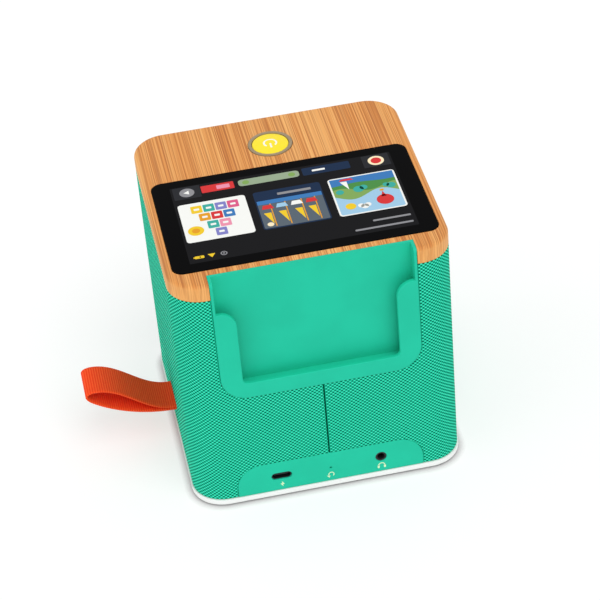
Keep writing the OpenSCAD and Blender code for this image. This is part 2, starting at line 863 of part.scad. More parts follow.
// ---------- Webbing loop ----------

// A point, and the direction to its left, on a cubic Bezier curve
function bezier(p, t) = pow(1 - t, 3) * p[0] + 3 * pow(1 - t, 2) * t * p[1]
    + 3 * (1 - t) * t * t * p[2] + t * t * t * p[3];
function bezier_left(p, t) =
    let (d = 3 * pow(1 - t, 2) * (p[1] - p[0]) + 6 * (1 - t) * t * (p[2] - p[1])
        + 3 * t * t * (p[3] - p[2]))
    [-d[1], d[0]] / norm(d);
function bezier_side(p, a, b, gap) =
    [for (i = [0:strap_steps]) let (t = a + (b - a) * i / strap_steps)
        bezier(p, t) + gap * bezier_left(p, t)];

// The loop from its side: an outer line, and an inner one where the layers part
module strap_profile() {
    half = strap_t / 2;
    difference() {
        polygon(concat([[-strap_tail, strap_t]],
            bezier_side(strap_rise_points, 0, 0.97, half),
            bezier_side(strap_tip_points, 0, 0.97, half),
            bezier_side(strap_fall_points, 0, 1, half),
            [[-strap_tail, -strap_t]]));
        polygon(concat(
            bezier_side(strap_rise_points, strap_open_from, 0.97, -half),
            bezier_side(strap_tip_points, 0, 0.97, -half),
            bezier_side(strap_fall_points, 0, 1 - strap_open_from * 0.8, -half)));
    }
}

module strap_loop() {
    color([0.92, 0.3, 0.15]) translate([side_x, strap_w / 2, strap_z]) rotate([90, 0, 0])
        linear_extrude(strap_w) strap_profile();
}

module strap_clamp() {
    tail_gap = 0.1;
    slot_h = 2 * (strap_t + tail_gap);
    slot_w = strap_w + 2 * tail_gap;
    color("gainsboro") translate([wall_x - clamp_l, 0, strap_z]) difference() {
        translate([0, -clamp_w / 2, -clamp_h / 2]) cube([clamp_l, clamp_w, clamp_h]);
        translate([-cut, -slot_w / 2, -slot_h / 2]) cube([clamp_l + 2 * cut, slot_w, slot_h]);
        for (s = [-1, 1]) translate([-cut, s * clamp_screw_y, 0]) rotate([0, 90, 0])
            cylinder(r = small_screw_r + screw_gap, h = clamp_l + 2 * cut);
    }
}

module clamp_screws() {
    color(steel) for (s = [-1, 1]) translate([wall_x - clamp_l, s * clamp_screw_y, strap_z])
        rotate([0, 90, 0]) small_screw(clamp_l + bite);
}

// ---------- Boards and battery ----------

module at_main_posts() {
    for (x = [-1, 1], y = [main_post_in, main_l - main_post_in])
        translate([x * (main_w / 2 - main_post_in), main_y + y, 0]) children();
}

module main_board() {
    color(board_green) difference() {
        translate([-main_w / 2, main_y, main_z]) cube([main_w, main_l, main_t]);
        at_main_posts() translate([0, 0, main_z - cut])
            cylinder(r = small_screw_r + screw_gap, h = main_t + 2 * cut);
    }
}

module main_board_screws() {
    color(steel) at_main_posts() translate([0, 0, main_z]) small_screw(main_t + main_gap - main_post_blind);
}

module shield_can() {
    color(steel) translate([-can_w / 2, main_y + (main_l - can_l) / 2, main_z + main_t])
        cube([can_w, can_l, can_h]);
}

tray_screw_x = tray_w / 2 + tray_ear / 2;

module cell_rods(r, l) {
    for (s = [-1, 1]) translate([-l / 2, cell_y + s * (cell_r + cell_gap / 2), cell_z])
        rotate([0, 90, 0]) cylinder(r = r, h = l);
}

module battery_cells() {
    color([0.25, 0.45, 0.75]) cell_rods(cell_r, cell_l);
}

module battery_tray() {
    color([0.2, 0.2, 0.2]) difference() {
        union() {
            translate([-tray_w / 2, cell_y - tray_l / 2, rim_z]) cube([tray_w, tray_l, tray_h]);
            for (s = [-1, 1]) translate([s * tray_screw_x, cell_y, rim_z + tray_ear_t / 2])
                cube([tray_ear + cell_gap, 2 * tray_ear, tray_ear_t], center = true);
        }
        cell_rods(cell_r + cell_gap / 4, cell_l + 2 * cell_gap);
        for (s = [-1, 1]) translate([s * tray_screw_x, cell_y, rim_z - cut])
            cylinder(r = small_screw_r + screw_gap, h = tray_h);
    }
}

module tray_screws() {
    color(steel) for (s = [-1, 1]) translate([s * tray_screw_x, cell_y, rim_z + tray_ear_t])
        mirror([0, 0, 1]) small_screw(rim_z + tray_ear_t - pad_t - skin - tip_gap);
}

// ---------- Speakers ----------

speaker_screw_out = speaker_w / 2 - speaker_screw_in;

// A square plate with round corners round a speaker, along Y
module speaker_plate(y0, y1, hole_r) {
    difference() {
        across_y(y0, y1) round_rect(speaker_w, speaker_w, speaker_corner_r);
        rod_y(0, 0, hole_r, y0 - cut, y1 + cut);
        for (x = [-1, 1], z = [-1, 1])
            rod_y(x * speaker_screw_out, z * speaker_screw_out,
                small_screw_r + screw_gap, y0 - cut, y1 + cut);
    }
}

// A profile of radius and depth, turned round a speaker's axis
module turned_y(y) {
    translate([0, y, 0]) rotate([-90, 0, 0]) rotate_extrude() children();
}

module speaker_grilles() {
    rings = floor((speaker_hole_r - grille_ledge - grille_hole_r) / grille_pitch);
    front_y = -back_y + shell_inset;
    color([0.3, 0.3, 0.32]) speaker_places() difference() {
        rod_y(0, 0, speaker_hole_r - slide_gap / 2, front_y, front_y + grille_t);
        rod_y(0, 0, grille_hole_r, front_y - cut, front_y + grille_t + cut);
        for (k = [1:rings], i = [0:6 * k - 1]) rotate([0, i * 60 / k, 0])
            rod_y(k * grille_pitch, 0, grille_hole_r, front_y - cut, front_y + grille_t + cut);
    }
}

module speaker_gaskets() {
    color([0.1, 0.1, 0.1]) speaker_places()
        speaker_plate(-wall_y, -wall_y + gasket_t, speaker_hole_r + 1);
}

module speaker_frames() {
    color([0.2, 0.2, 0.21]) speaker_places() {
        speaker_plate(frame_y, frame_y + frame_t, frame_hole_r);
        difference() {
            turned_y(frame_y) polygon([[frame_hole_r, 0], [frame_hole_r + basket_t, 0],
                [frame_hole_r + basket_t, frame_t], [basket_back_r, basket_l],
                [coil_r + coil_t + coil_gap, basket_l],
                [coil_r + coil_t + coil_gap, basket_l - basket_t],
                [basket_back_r - basket_t, basket_l - basket_t], [frame_hole_r, frame_t]]);
            for (a = [0, 90]) rotate([0, a, 0])
                translate([-speaker_hole_r, frame_y + frame_t + basket_t, -basket_window_w / 2])
                    cube([2 * speaker_hole_r, basket_l - frame_t - 2.5 * basket_t,
                        basket_window_w]);
        }
    }
}

// A half-round rubber roll between the frame and the cone
module speaker_surrounds() {
    roll_r = (frame_hole_r - surround_in_r) / 2 + surround_t / 2;
    middle = (frame_hole_r + surround_in_r) / 2;
    color([0.08, 0.08, 0.08]) speaker_places() turned_y(frame_y) {
        translate([middle + roll_r - surround_t, -surround_t])
            square([speaker_hole_r + 0.8 - middle - roll_r + surround_t, surround_t]);
        difference() {
            translate([middle, 0]) circle(roll_r);
            translate([middle, 0]) circle(roll_r - surround_t);
            translate([0, 0]) square([2 * speaker_hole_r, 2 * roll_r]);
        }
    }
}

module speaker_magnets() {
    color([0.5, 0.5, 0.52]) speaker_places() turned_y(frame_y + basket_l) polygon([
        [0, -magnet_core], [coil_r - coil_gap, -magnet_core],
        [coil_r - coil_gap, magnet_l - magnet_plate_t],
        [coil_r + coil_t + coil_gap, magnet_l - magnet_plate_t], [coil_r + coil_t + coil_gap, 0],
        [magnet_r, 0], [magnet_r, magnet_l], [0, magnet_l]]);
}

module speaker_screws() {
    color(steel) speaker_places() for (x = [-1, 1], z = [-1, 1])
        translate([x * speaker_screw_out, frame_y + frame_t, z * speaker_screw_out])
            rotate([90, 0, 0]) small_screw(frame_t + gasket_t + bite);
}

// The cone with its dust cap and the coil's tube, which runs in the magnet's gap
module speaker_cone() {
    rim = cone_front;
    neck = rim + cone_depth;
    coil_end = basket_l + magnet_l - magnet_plate_t - cone_travel - coil_gap;
    cap_y = rim + cone_depth * 0.4;
    color([0.16, 0.16, 0.17]) turned_y(frame_y) {
        polygon([[cone_r, rim], [cone_r, rim + cone_t], [coil_r + coil_t, neck + cone_t],
            [coil_r + coil_t, coil_end], [coil_r, coil_end], [coil_r, neck],
            [0, cap_y + cone_t], [0, cap_y], [coil_r, neck - cone_t / 2]]);
    }
}

module left_cone() {
    translate([speaker_x, 0, speaker_z]) speaker_cone();
}

module right_cone() {
    translate([-speaker_x, 0, speaker_z]) speaker_cone();
}

base_cover();
rubber_pad();
base_screws();
housing_shell();
fabric_sleeve();
bamboo_top();
top_carrier();
carrier_screws();
display_glass();
display_panel();
display_frame();
button_ring();
button_cap();
button_stem();
button_switch();
button_board();
card_pocket();
pocket_screws();
card_reader_board();
port_panel();
panel_screws();
port_board();
port_board_screws();
usb_socket();
usb_tongue();
headphone_socket();
reset_switch();
reset_button();
strap_loop();
strap_clamp();
clamp_screws();
main_board();
main_board_screws();
shield_can();
battery_cells();
battery_tray();
tray_screws();
speaker_grilles();
speaker_gaskets();
speaker_frames();
speaker_surrounds();
speaker_magnets();
speaker_screws();
left_cone();
right_cone();
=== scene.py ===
"""Looks of an audio story player: a fabric-covered cube with a bamboo top.

Sizes are in millimetres in the part's own frame: the origin on the table under
the middle of the body, +Z up, +Y to the back with the card pocket, and +X to
the side with the webbing loop. Meshes are written in metres.
"""

import logging
import math
from collections.abc import Callable, Sequence
from dataclasses import dataclass, field
from enum import Enum

import bmesh
import bpy
import numpy as np
from mathutils import Euler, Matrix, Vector
from mathutils.geometry import tessellate_polygon


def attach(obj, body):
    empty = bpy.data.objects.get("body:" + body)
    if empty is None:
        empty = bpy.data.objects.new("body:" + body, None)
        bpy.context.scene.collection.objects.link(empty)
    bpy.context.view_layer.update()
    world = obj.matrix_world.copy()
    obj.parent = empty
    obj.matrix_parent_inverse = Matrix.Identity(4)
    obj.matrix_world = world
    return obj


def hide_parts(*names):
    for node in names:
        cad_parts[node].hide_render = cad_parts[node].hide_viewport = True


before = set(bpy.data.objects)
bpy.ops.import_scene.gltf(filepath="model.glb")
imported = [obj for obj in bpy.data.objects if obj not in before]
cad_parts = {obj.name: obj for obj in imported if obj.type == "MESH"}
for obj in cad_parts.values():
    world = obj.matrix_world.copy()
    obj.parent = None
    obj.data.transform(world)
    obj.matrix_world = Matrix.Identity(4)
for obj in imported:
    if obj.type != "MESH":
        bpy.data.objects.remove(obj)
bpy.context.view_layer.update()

log = logging.getLogger("story_player")

Array = np.ndarray
Point = tuple[float, float]
Triple = tuple[float, float, float]
MM = 0.001


class Plane(Enum):
    """The plane in which a flat outline is drawn."""

    XY = "xy"
    XZ = "xz"


class Body(Enum):
    """The bodies that the finished pieces ride on."""

    MAIN = "body"
    BUTTON = "play_button"


@dataclass(frozen=True)
class Case:
    """Driving dimensions that several pieces share."""

    half: float = 62.5
    corner_r: float = 15.0
    edge_r: float = 2.0
    rim_z: float = 3.6
    top_low: float = 116.5
    top_z: float = 124.5
    gap: float = 0.15
    face_y: float = 62.7
    inner_y: float = 58.7
    flange_y: float = 56.7
    pocket_half: float = 45.4
    pocket_z: float = 60.0
    pocket_r: float = 12.5
    pocket_back_y: float = 55.0
    panel_half: float = 43.3
    panel_z: float = 19.9
    panel_r: float = 11.5
    glass: Triple = (118.0, 71.6, 5.0)
    glass_y: float = 15.2
    glass_low: float = 123.5
    glass_z: float = 124.7
    button_y: float = -38.2
    ring_r: float = 10.3
    strap_z: float = 19.0
    strap_w: float = 19.5
    rib_pitch: float = 1.1

    @property
    def flat(self) -> float:
        """Length of one straight side."""
        return 2 * (self.half - self.corner_r)

    @property
    def side_l(self) -> float:
        """Running length of a straight side and a corner."""
        return self.flat + math.pi / 2 * self.corner_r


CASE = Case()


# ---------- Outlines and surfaces ----------


def arc(centre: Point, radius: float, start: float, end: float, steps: int) -> Array:
    """Points on a circle: centre + radius * (cos a, sin a), a in degrees.

    Args:
        centre: the circle's middle.
        radius: its radius.
        start: angle of the first point.
        end: angle of the last point.
        steps: number of steps between them.

    Returns:
        An array of steps + 1 points.
    """
    a = np.radians(np.linspace(start, end, steps + 1))
    return np.array(centre) + radius * np.stack([np.cos(a), np.sin(a)], 1)


def round_loop(width: float, length: float, radius: float, centre: Point = (0.0, 0.0),
               steps: int = 12) -> Array:
    """A rectangle with round corners: four quarter circles, joined by lines.

    Args:
        width: size along the first axis.
        length: size along the second axis.
        radius: corner radius.
        centre: middle of the rectangle.
        steps: steps in each corner.

    Returns:
        Points, counter-clockwise, without the first one again.
    """
    x, y = width / 2 - radius, length / 2 - radius
    corners = [(x, y), (-x, y), (-x, -y), (x, -y)]
    return np.concatenate([
        arc(c, radius, 90 * k, 90 * k + 90, steps) for k, c in enumerate(corners)
    ]) + np.array(centre)


def circle_loop(radius: float, centre: Point, steps: int = 48) -> Array:
    """A circle as steps points, without the first one again."""
    return arc(centre, radius, 0, 360, steps)[:-1]


def lay(loop: Array, plane: Plane, depth: float) -> Array:
    """Places a flat outline in space.

    Args:
        loop: points in the plane.
        plane: XY puts depth on z, XZ puts depth on y.
        depth: the third coordinate.

    Returns:
        Points with three coordinates.
    """
    third = np.full(len(loop), depth)
    order = [loop[:, 0], loop[:, 1], third]
    if plane is Plane.XZ:
        order = [loop[:, 0], third, loop[:, 1]]
    return np.stack(order, 1)


def quarter(radius: float, steps: int = 4) -> Array:
    """A quarter round: pairs (inset, drop) = radius * (1 - cos a, 1 - sin a)."""
    a = np.linspace(0, np.pi / 2, steps + 1)
    return radius * np.stack([1 - np.cos(a), 1 - np.sin(a)], 1)


def bezier(points: Array, t: Array) -> Array:
    """A cubic curve: the sum of p_k * C(3, k) * t ** k * (1 - t) ** (3 - k).

    Args:
        points: its four control points.
        t: places along it, from 0 to 1.

    Returns:
        One point for each place.
    """
    k = np.arange(4)
    weights = np.array([1, 3, 3, 1]) * t[:, None] ** k * (1 - t[:, None]) ** (3 - k)
    return weights @ points


def resample(path: Array, step: float) -> tuple[Array, Array]:
    """Spaces points evenly along a path by its running length.

    Args:
        path: points of the path.
        step: wanted distance between neighbours.

    Returns:
        The new points, and the running length at each.
    """
    run = np.concatenate([[0], np.cumsum(np.linalg.norm(np.diff(path, axis=0), axis=1))])
    at = np.linspace(0, run[-1], max(2, round(run[-1] / step)) + 1)
    return np.stack([np.interp(at, run, c) for c in path.T], 1), at


def revolve(profile: Array, centre: Point, steps: int = 96) -> Array:
    """Turns a profile of (radius, height) round an upright axis, as rings."""
    return np.stack([lay(circle_loop(r, centre, steps), Plane.XY, z) for r, z in profile])


def put(name: str, data: bpy.types.ID) -> bpy.types.Object:
    """Makes an object and adds it to the scene.

    Args:
        name: its name.
        data: its mesh, lamp or camera.

    Returns:
        The object, at the origin.
    """
    made = bpy.data.objects.new(name, data)
    bpy.context.scene.collection.objects.link(made)
    return made


def weld(mesh: bpy.types.Mesh, least: float, slivers: bool, outward: bool) -> None:
    """Joins a mesh's doubled points and shades it smooth.

    Args:
        mesh: the mesh.
        least: points closer than this, in metres, become one.
        slivers: whether faces without area are taken out.
        outward: whether the mesh is closed and its faces are turned outwards.
    """
    work = bmesh.new()
    work.from_mesh(mesh)
    bmesh.ops.remove_doubles(work, verts=work.verts, dist=least)
    if slivers:
        bmesh.ops.dissolve_degenerate(work, edges=work.edges, dist=least / 4)
    if outward:
        bmesh.ops.recalc_face_normals(work, faces=work.faces)
    work.to_mesh(mesh)
    work.free()
    mesh.polygons.foreach_set("use_smooth", np.ones(len(mesh.polygons), bool))


def write_map(mesh: bpy.types.Mesh, name: str, uv: Array) -> None:
    """Writes a map in mm.

    Args:
        mesh: the mesh.
        name: the map's name.
        uv: (u, v) at each of the mesh's points.
    """
    corner = np.zeros(len(mesh.loops), int)
    mesh.loops.foreach_get("vertex_index", corner)
    layer = mesh.uv_layers.new(name=name)
    layer.data.foreach_set("uv", uv[corner].astype(np.float32).ravel())


def even_normals(piece: bpy.types.Object) -> None:
    """Lets large flat faces keep their own shading beside small roundings.

    Args:
        piece: the piece to shade.
    """
    weighted = piece.modifiers.new("even_normals", "WEIGHTED_NORMAL")
    weighted.keep_sharp = True
    weighted.weight = 90


def thicken(piece: bpy.types.Object, thickness: float, side: float) -> None:
    """Gives an open surface a thickness.

    Args:
        piece: the surface.
        thickness: its thickness in mm.
        side: -1 for a wall inwards, 1 for one outwards.
    """
    wall = piece.modifiers.new("thickness", "SOLIDIFY")
    wall.thickness = thickness * MM
    wall.offset = side
    wall.use_even_offset = True


@dataclass
class Shell:
    """Gathers the surfaces of one piece and makes them one mesh."""

    points: list[Array] = field(default_factory=list)
    faces: list[tuple[int, ...]] = field(default_factory=list)
    count: int = 0

    def add(self, points: Array) -> int:
        """Keeps points.

        Args:
            points: an array that ends in three coordinates.

        Returns:
            The number of the first one.
        """
        first = self.count
        self.points.append(points.reshape(-1, 3))
        self.count += len(self.points[-1])
        return first

    def loft(self, rings: Array | list[Array], closed: bool = True) -> "Shell":
        """Joins each ring to the next by four-sided faces.

        Args:
            rings: loops of equal length, in order.
            closed: whether a ring's last point joins its first.

        Returns:
            The shell itself.
        """
        grid = np.asarray(rings, float)
        m, n = grid.shape[:2]
        at = self.add(grid) + np.arange(m * n).reshape(m, n)
        here, there = (at, np.roll(at, -1, 1)) if closed else (at[:, :-1], at[:, 1:])
        quads = np.stack([here[:-1], there[:-1], there[1:], here[1:]], -1)
        self.faces += [tuple(q) for q in quads.reshape(-1, 4).tolist()]
        return self

    def cap(self, outline: Array, holes: Sequence[Array] = ()) -> "Shell":
        """Fills a flat outline with triangles.

        Args:
            outline: its points.
            holes: outlines inside it that stay open.

        Returns:
            The shell itself.
        """
        loops = [outline, *holes]
        first = self.add(np.concatenate(loops))
        vectors = [[Vector(p) for p in loop.tolist()] for loop in loops]
        self.faces += [tuple(first + i for i in tri) for tri in tessellate_polygon(vectors)]
        return self

    def prism(self, outline: Array, plane: Plane, low: float, high: float) -> None:
        """Adds a closed slab between two depths; plane is the outline's."""
        ends = [lay(outline, plane, depth) for depth in (low, high)]
        self.loft(ends).cap(ends[0]).cap(ends[1])

    def build(self, name: str, sharp: float = 40.0, outward: bool = True,
              least: float = 2e-6) -> bpy.types.Object:
        """Makes the mesh object.

        Args:
            name: the piece's name.
            sharp: edges that turn by more than this many degrees stay crisp.
            outward: whether the shell is closed and its faces are turned outwards.
            least: points closer than this, in metres, become one.

        Returns:
            The object, at the origin.
        """
        mesh = bpy.data.meshes.new(name)
        mesh.from_pydata((np.concatenate(self.points) * MM).tolist(), [], self.faces)
        weld(mesh, least, slivers=True, outward=outward)
        mesh.set_sharp_from_angle(angle=math.radians(sharp))
        return put(name, mesh)


# ---------- Finishes ----------


def srgb(code: str) -> Triple:
    """Turns a written colour into linear light.

    Args:
        code: six hexadecimal digits, two each for red, green and blue.

    Returns:
        Linear values: c / 12.92 below 0.04045, else ((c + 0.055) / 1.055) ** 2.4.
    """
    c = np.array([int(code[i:i + 2], 16) for i in (0, 2, 4)]) / 255
    linear = np.where(c <= 0.04045, c / 12.92, ((c + 0.055) / 1.055) ** 2.4)
    return tuple(float(v) for v in linear)


class Nodes:
    """Builds a node tree with short calls."""

    def __init__(self, owner: bpy.types.Material | bpy.types.World) -> None:
        """Switches on the nodes of a material or a world."""
        owner.use_nodes = True
        self.tree = owner.node_tree

    def node(self, kind: str, **settings: object) -> bpy.types.Node:
        """Adds a node.

        Args:
            kind: its type, without the first word that all of them share.
            settings: its properties by name.

        Returns:
            The node.
        """
        made = self.tree.nodes.new("ShaderNode" + kind)
        for key, value in settings.items():
            setattr(made, key, value)
        return made

    def feed(self, socket: bpy.types.NodeSocket, value: object) -> None:
        """Links a socket to another, or sets its value.

        Args:
            socket: the input to feed.
            value: a socket, a number, or a colour as three numbers.
        """
        if isinstance(value, bpy.types.NodeSocket):
            self.tree.links.new(value, socket)
        elif isinstance(value, tuple) and len(value) == 3 and socket.type == "RGBA":
            socket.default_value = (*value, 1)
        else:
            socket.default_value = value

    def fed(self, node: bpy.types.Node, **values: object) -> bpy.types.NodeSocket:
        """Feeds a node's sockets.

        Args:
            node: the node.
            values: values by socket name; an underscore stands for a space.

        Returns:
            The node's first output.
        """
        for key, value in values.items():
            self.feed(node.inputs[key.replace("_", " ")], value)
        return node.outputs[0]

    def math(self, operation: str, *values: object, clamp: bool = False) -> bpy.types.NodeSocket:
        """Adds a Math node.

        Args:
            operation: what it works out.
            values: its inputs in order, sockets or numbers.
            clamp: whether the result is kept between 0 and 1.

        Returns:
            The result.
        """
        made = self.node("Math", operation=operation, use_clamp=clamp)
        for socket, value in zip(made.inputs, values):
            self.feed(socket, value)
        return made.outputs[0]

    def span(self, value: object, low: float, high: float, out_low: float = 0.0,
             out_high: float = 1.0, smooth: bool = True) -> bpy.types.NodeSocket:
        """Maps one range to another and clamps the result.

        Args:
            value: a socket or a number.
            low: value that becomes out_low.
            high: value that becomes out_high.
            out_low: result at low.
            out_high: result at high.
            smooth: whether the step between them is an S-curve.

        Returns:
            The result.
        """
        made = self.node("MapRange", interpolation_type="SMOOTHSTEP" if smooth else "LINEAR")
        for socket, given in zip(made.inputs, (value, low, high, out_low, out_high)):
            self.feed(socket, given)
        return made.outputs[0]


class Graph(Nodes):
    """Builds one material round a Principled shader."""

    def __init__(self, name: str) -> None:
        """Starts the material.

        Args:
            name: its name.
        """
        self.material = bpy.data.materials.new(name)
        super().__init__(self.material)
        self.shader = self.tree.nodes["Principled BSDF"]

    def place(self, scale: Triple = (1, 1, 1), uv: str | None = None) -> bpy.types.NodeSocket:
        """Gives coordinates in mm, stretched by a scale.

        Args:
            scale: factor on each axis, after the change to mm.
            uv: name of a map in mm; without it, Object coordinates are used.

        Returns:
            The vector socket.
        """
        source = self.node("UVMap", uv_map=uv).outputs[0] if uv else \
            self.node("TexCoord").outputs["Object"]
        unit = 1.0 if uv else 1 / MM
        return self.fed(self.node("Mapping"), Vector=source,
                        Scale=tuple(unit * s for s in scale))

    def noise(self, vector: bpy.types.NodeSocket, scale: float, detail: float = 3.0,
              rough: float = 0.5) -> bpy.types.NodeSocket:
        """Adds a noise of about scale features per mm and returns its value."""
        return self.fed(self.node("TexNoise"), Vector=vector, Scale=scale, Detail=detail,
                        Roughness=rough)

    def wave(self, value: bpy.types.NodeSocket, pitch: float) -> bpy.types.NodeSocket:
        """Adds the wave cos(2 pi value / pitch)."""
        return self.math("COSINE", self.math("MULTIPLY", value, 2 * math.pi / pitch))

    def mix(self, share: object, first: object, second: object,
            blend: str = "MIX") -> bpy.types.NodeSocket:
        """Mixes two colours.

        Args:
            share: part of the second, from 0 to 1.
            first: the colour at share 0.
            second: the colour at share 1.
            blend: how the second lies on the first.

        Returns:
            The mixed colour.
        """
        made = self.node("Mix", data_type="RGBA", blend_type=blend)
        for place, value in ((0, share), (6, first), (7, second)):
            self.feed(made.inputs[place], value)
        return made.outputs[2]

    def parts(self, vector: bpy.types.NodeSocket) -> bpy.types.bpy_prop_collection:
        """Splits a vector.

        Args:
            vector: the vector socket.

        Returns:
            Its three numbers.
        """
        split = self.node("SeparateXYZ")
        self.feed(split.inputs["Vector"], vector)
        return split.outputs

    def bump(self, height: bpy.types.NodeSocket, depth: float, strength: float = 1.0) -> None:
        """Raises the surface by a height of depth mm at most."""
        self.set(Normal=self.fed(self.node("Bump"), Strength=strength, Distance=depth * MM,
                                 Height=height))

    def set(self, **values: object) -> None:
        """Sets or links the shader's sockets; an underscore stands for a space."""
        self.fed(self.shader, **values)


@dataclass(frozen=True)
class Moulded:
    """A moulded or rubbed surface with a fine grain and faint clouding."""

    name: str
    colour: Triple
    roughness: float = 0.42
    grain: float = 2.2
    depth: float = 0.012
    cloud: float = 0.06
    metallic: float = 0.0
    specular: float = 0.4

    def make(self) -> bpy.types.Material:
        """Builds the material.

        Returns:
            Colour times a slow noise, with gloss and bump from a fine one.
        """
        g = Graph(self.name)
        fine = g.noise(g.place(), self.grain, 4, 0.6)
        shade = g.span(g.noise(g.place(), 0.06, 2), 0.3, 0.7, 1 - self.cloud, 1.0)
        grey = g.fed(g.node("CombineColor"), Red=shade, Green=shade, Blue=shade)
        g.set(Base_Color=g.mix(1.0, self.colour, grey, "MULTIPLY"),
              Metallic=self.metallic, Specular_IOR_Level=self.specular,
              Roughness=g.span(fine, 0.3, 0.7, self.roughness - 0.05, self.roughness + 0.06))
        g.bump(fine, self.depth)
        return g.material


@dataclass(frozen=True)
class SpacerMesh:
    """Knitted mesh cloth: a staggered grid of small open holes between threads."""

    name: str = "mint_mesh_cloth"
    # Lighter colour on the thread crowns: a painted highlight.
    thread: Triple = srgb("58F2CC")
    yarn: Triple = srgb("17C79F")
    # Dark colour of the holes and the seam; in the holes it is painted shade.
    hole: Triple = srgb("00523A")
    pitch_u: float = 2.0
    pitch_v: float = 1.76
    around: float = 4 * CASE.side_l
    seam_half: Point = (0.28, 0.5)
    relief: float = 0.16

    def make(self) -> bpy.types.Material:
        """Builds the cloth from its map of running length u and height v.

        Returns:
            Holes where cos(2 pi u / p) * cos(2 pi v / q) is high, painted dark as the shade inside
            them; threads where it is low, their crowns painted lighter as a highlight; and a seam
            at u = 0 in the holes' dark colour.
        """
        g = Graph(self.name)
        cloth = g.place(uv="cloth")
        u, v, _ = g.parts(cloth)
        weave = g.math("MULTIPLY", g.wave(u, self.pitch_u), g.wave(v, self.pitch_v))
        # Painted shade: the holes are coloured dark for the shade down in them.
        opening = g.span(weave, 0.02, 0.55)
        # Painted highlight: the thread crowns are coloured lighter; the same mask also raises them
        # in the bump.
        crown_and_highlight = g.span(weave, -0.2, -0.85)
        slow = g.noise(g.place(), 0.05, 2)
        base = g.mix(crown_and_highlight, self.yarn, self.thread)
        base = g.mix(g.span(slow, 0.35, 0.65, 0, 0.12), base, self.yarn)
        beside = g.math("PINGPONG", u, self.around / 2)
        seam = g.span(beside, *self.seam_half, 1.0, 0.0)
        g.set(Base_Color=g.mix(g.math("MAXIMUM", opening, seam), base, self.hole),
              Roughness=0.7, IOR=1.08)
        height = g.math("SUBTRACT", g.math("MULTIPLY", crown_and_highlight, 0.7), opening)
        fibre = g.math("MULTIPLY", g.noise(cloth, 9.0, 2), 0.15)
        g.bump(g.math("ADD", height, fibre), self.relief, 0.7)
        return g.material


@dataclass(frozen=True)
class BambooWood:
    """Laminated bamboo: strips side by side, with long fibres along the depth."""

    name: str = "laminated_bamboo"
    pale: Triple = srgb("F2B46A")
    warm: Triple = srgb("D6873E")
    dark: Triple = srgb("A45C2C")
    strip_w: float = 6.4
    wander: float = 3.0
    # The rounded edge and the sides below this height are painted paler, as painted light.
    side_light_z: float = 122.6
    side_light_fade: float = 1.6

    def make(self) -> bpy.types.Material:
        """Builds strips from the floor of x / width, and fibres from stretched noise.

        Returns:
            The wood. Each layer mixes a tone into the ones before it; the last one paints the
            rounded edge and the sides paler than the face as painted light, which also softens the
            fibre streaks there.
        """
        g = Graph(self.name)
        x, _, z = g.parts(g.place())
        wobble = g.math("MULTIPLY", g.noise(g.place((1, 0.01, 0.02)), 0.12, 1), self.wander)
        across = g.math("DIVIDE", g.math("ADD", x, wobble), self.strip_w)
        tint = g.fed(g.node("TexWhiteNoise", noise_dimensions="1D"),
                     W=g.math("FLOOR", across))
        broad = g.noise(g.place((1, 0.006, 0.03)), 0.4, 1)
        streak = g.noise(g.place((1, 0.004, 0.03)), 1.3, 1)
        fine = g.noise(g.place((1, 0.005, 0.05)), 2.4, 0)
        colour = self.pale
        for value, low, high, share, tone in (
                (tint, 0, 1, 0.7, self.warm),
                (broad, 0.38, 0.62, 0.7, self.warm),
                (streak, 0.48, 0.68, 0.6, self.dark),
                (fine, 0.48, 0.68, 0.5, self.dark),
                (fine, 0.46, 0.30, 0.5, self.pale),
                # Painted light: the rounded edge and the sides are mixed towards the pale tone.
                (z, self.side_light_z + self.side_light_fade, self.side_light_z, 0.45, self.pale)):
            colour = g.mix(g.span(value, low, high, 0, share), colour, tone)
        g.set(Base_Color=colour, Specular_IOR_Level=0.3,
              Roughness=g.span(fine, 0.3, 0.7, 0.5, 0.62))
        g.bump(g.math("SUBTRACT", fine, streak), 0.03, 0.6)
        return g.material


@dataclass(frozen=True)
class BlackGlass:
    """Cover glass over a dark screen."""

    name: str = "cover_glass_black"
    colour: Triple = srgb("060607")

    def make(self) -> bpy.types.Material:
        """Builds the glass.

        Returns:
            A deep black gloss with the faintest waviness.
        """
        g = Graph(self.name)
        smear = g.noise(g.place(), 0.05, 2)
        g.set(Base_Color=self.colour, IOR=1.07, Roughness=g.span(smear, 0.3, 0.7, 0.07, 0.12))
        g.bump(smear, 0.01, 0.1)
        return g.material


@dataclass(frozen=True)
class LitScreen:
    """The picture on the screen: painted areas that glow a little behind glass."""

    name: str = "lit_screen"
    pixel: float = 0.2001

    def make(self) -> bpy.types.Material:
        """Builds the picture.

        Returns:
            The mesh's paint attribute, darkened by a fine pixel grid.
        """
        g = Graph(self.name)
        paint = g.node("Attribute", attribute_name="paint").outputs["Color"]
        x, y, _ = g.parts(g.place())
        grid = g.math("MULTIPLY", g.wave(x, self.pixel), g.wave(y, self.pixel))
        shown = g.mix(g.span(grid, -1, 1, 0.0, 0.05), paint, (0.0, 0.0, 0.0))
        g.set(Base_Color=shown, Roughness=0.14, IOR=1.07, Emission_Color=shown,
              Emission_Strength=0.1)
        return g.material


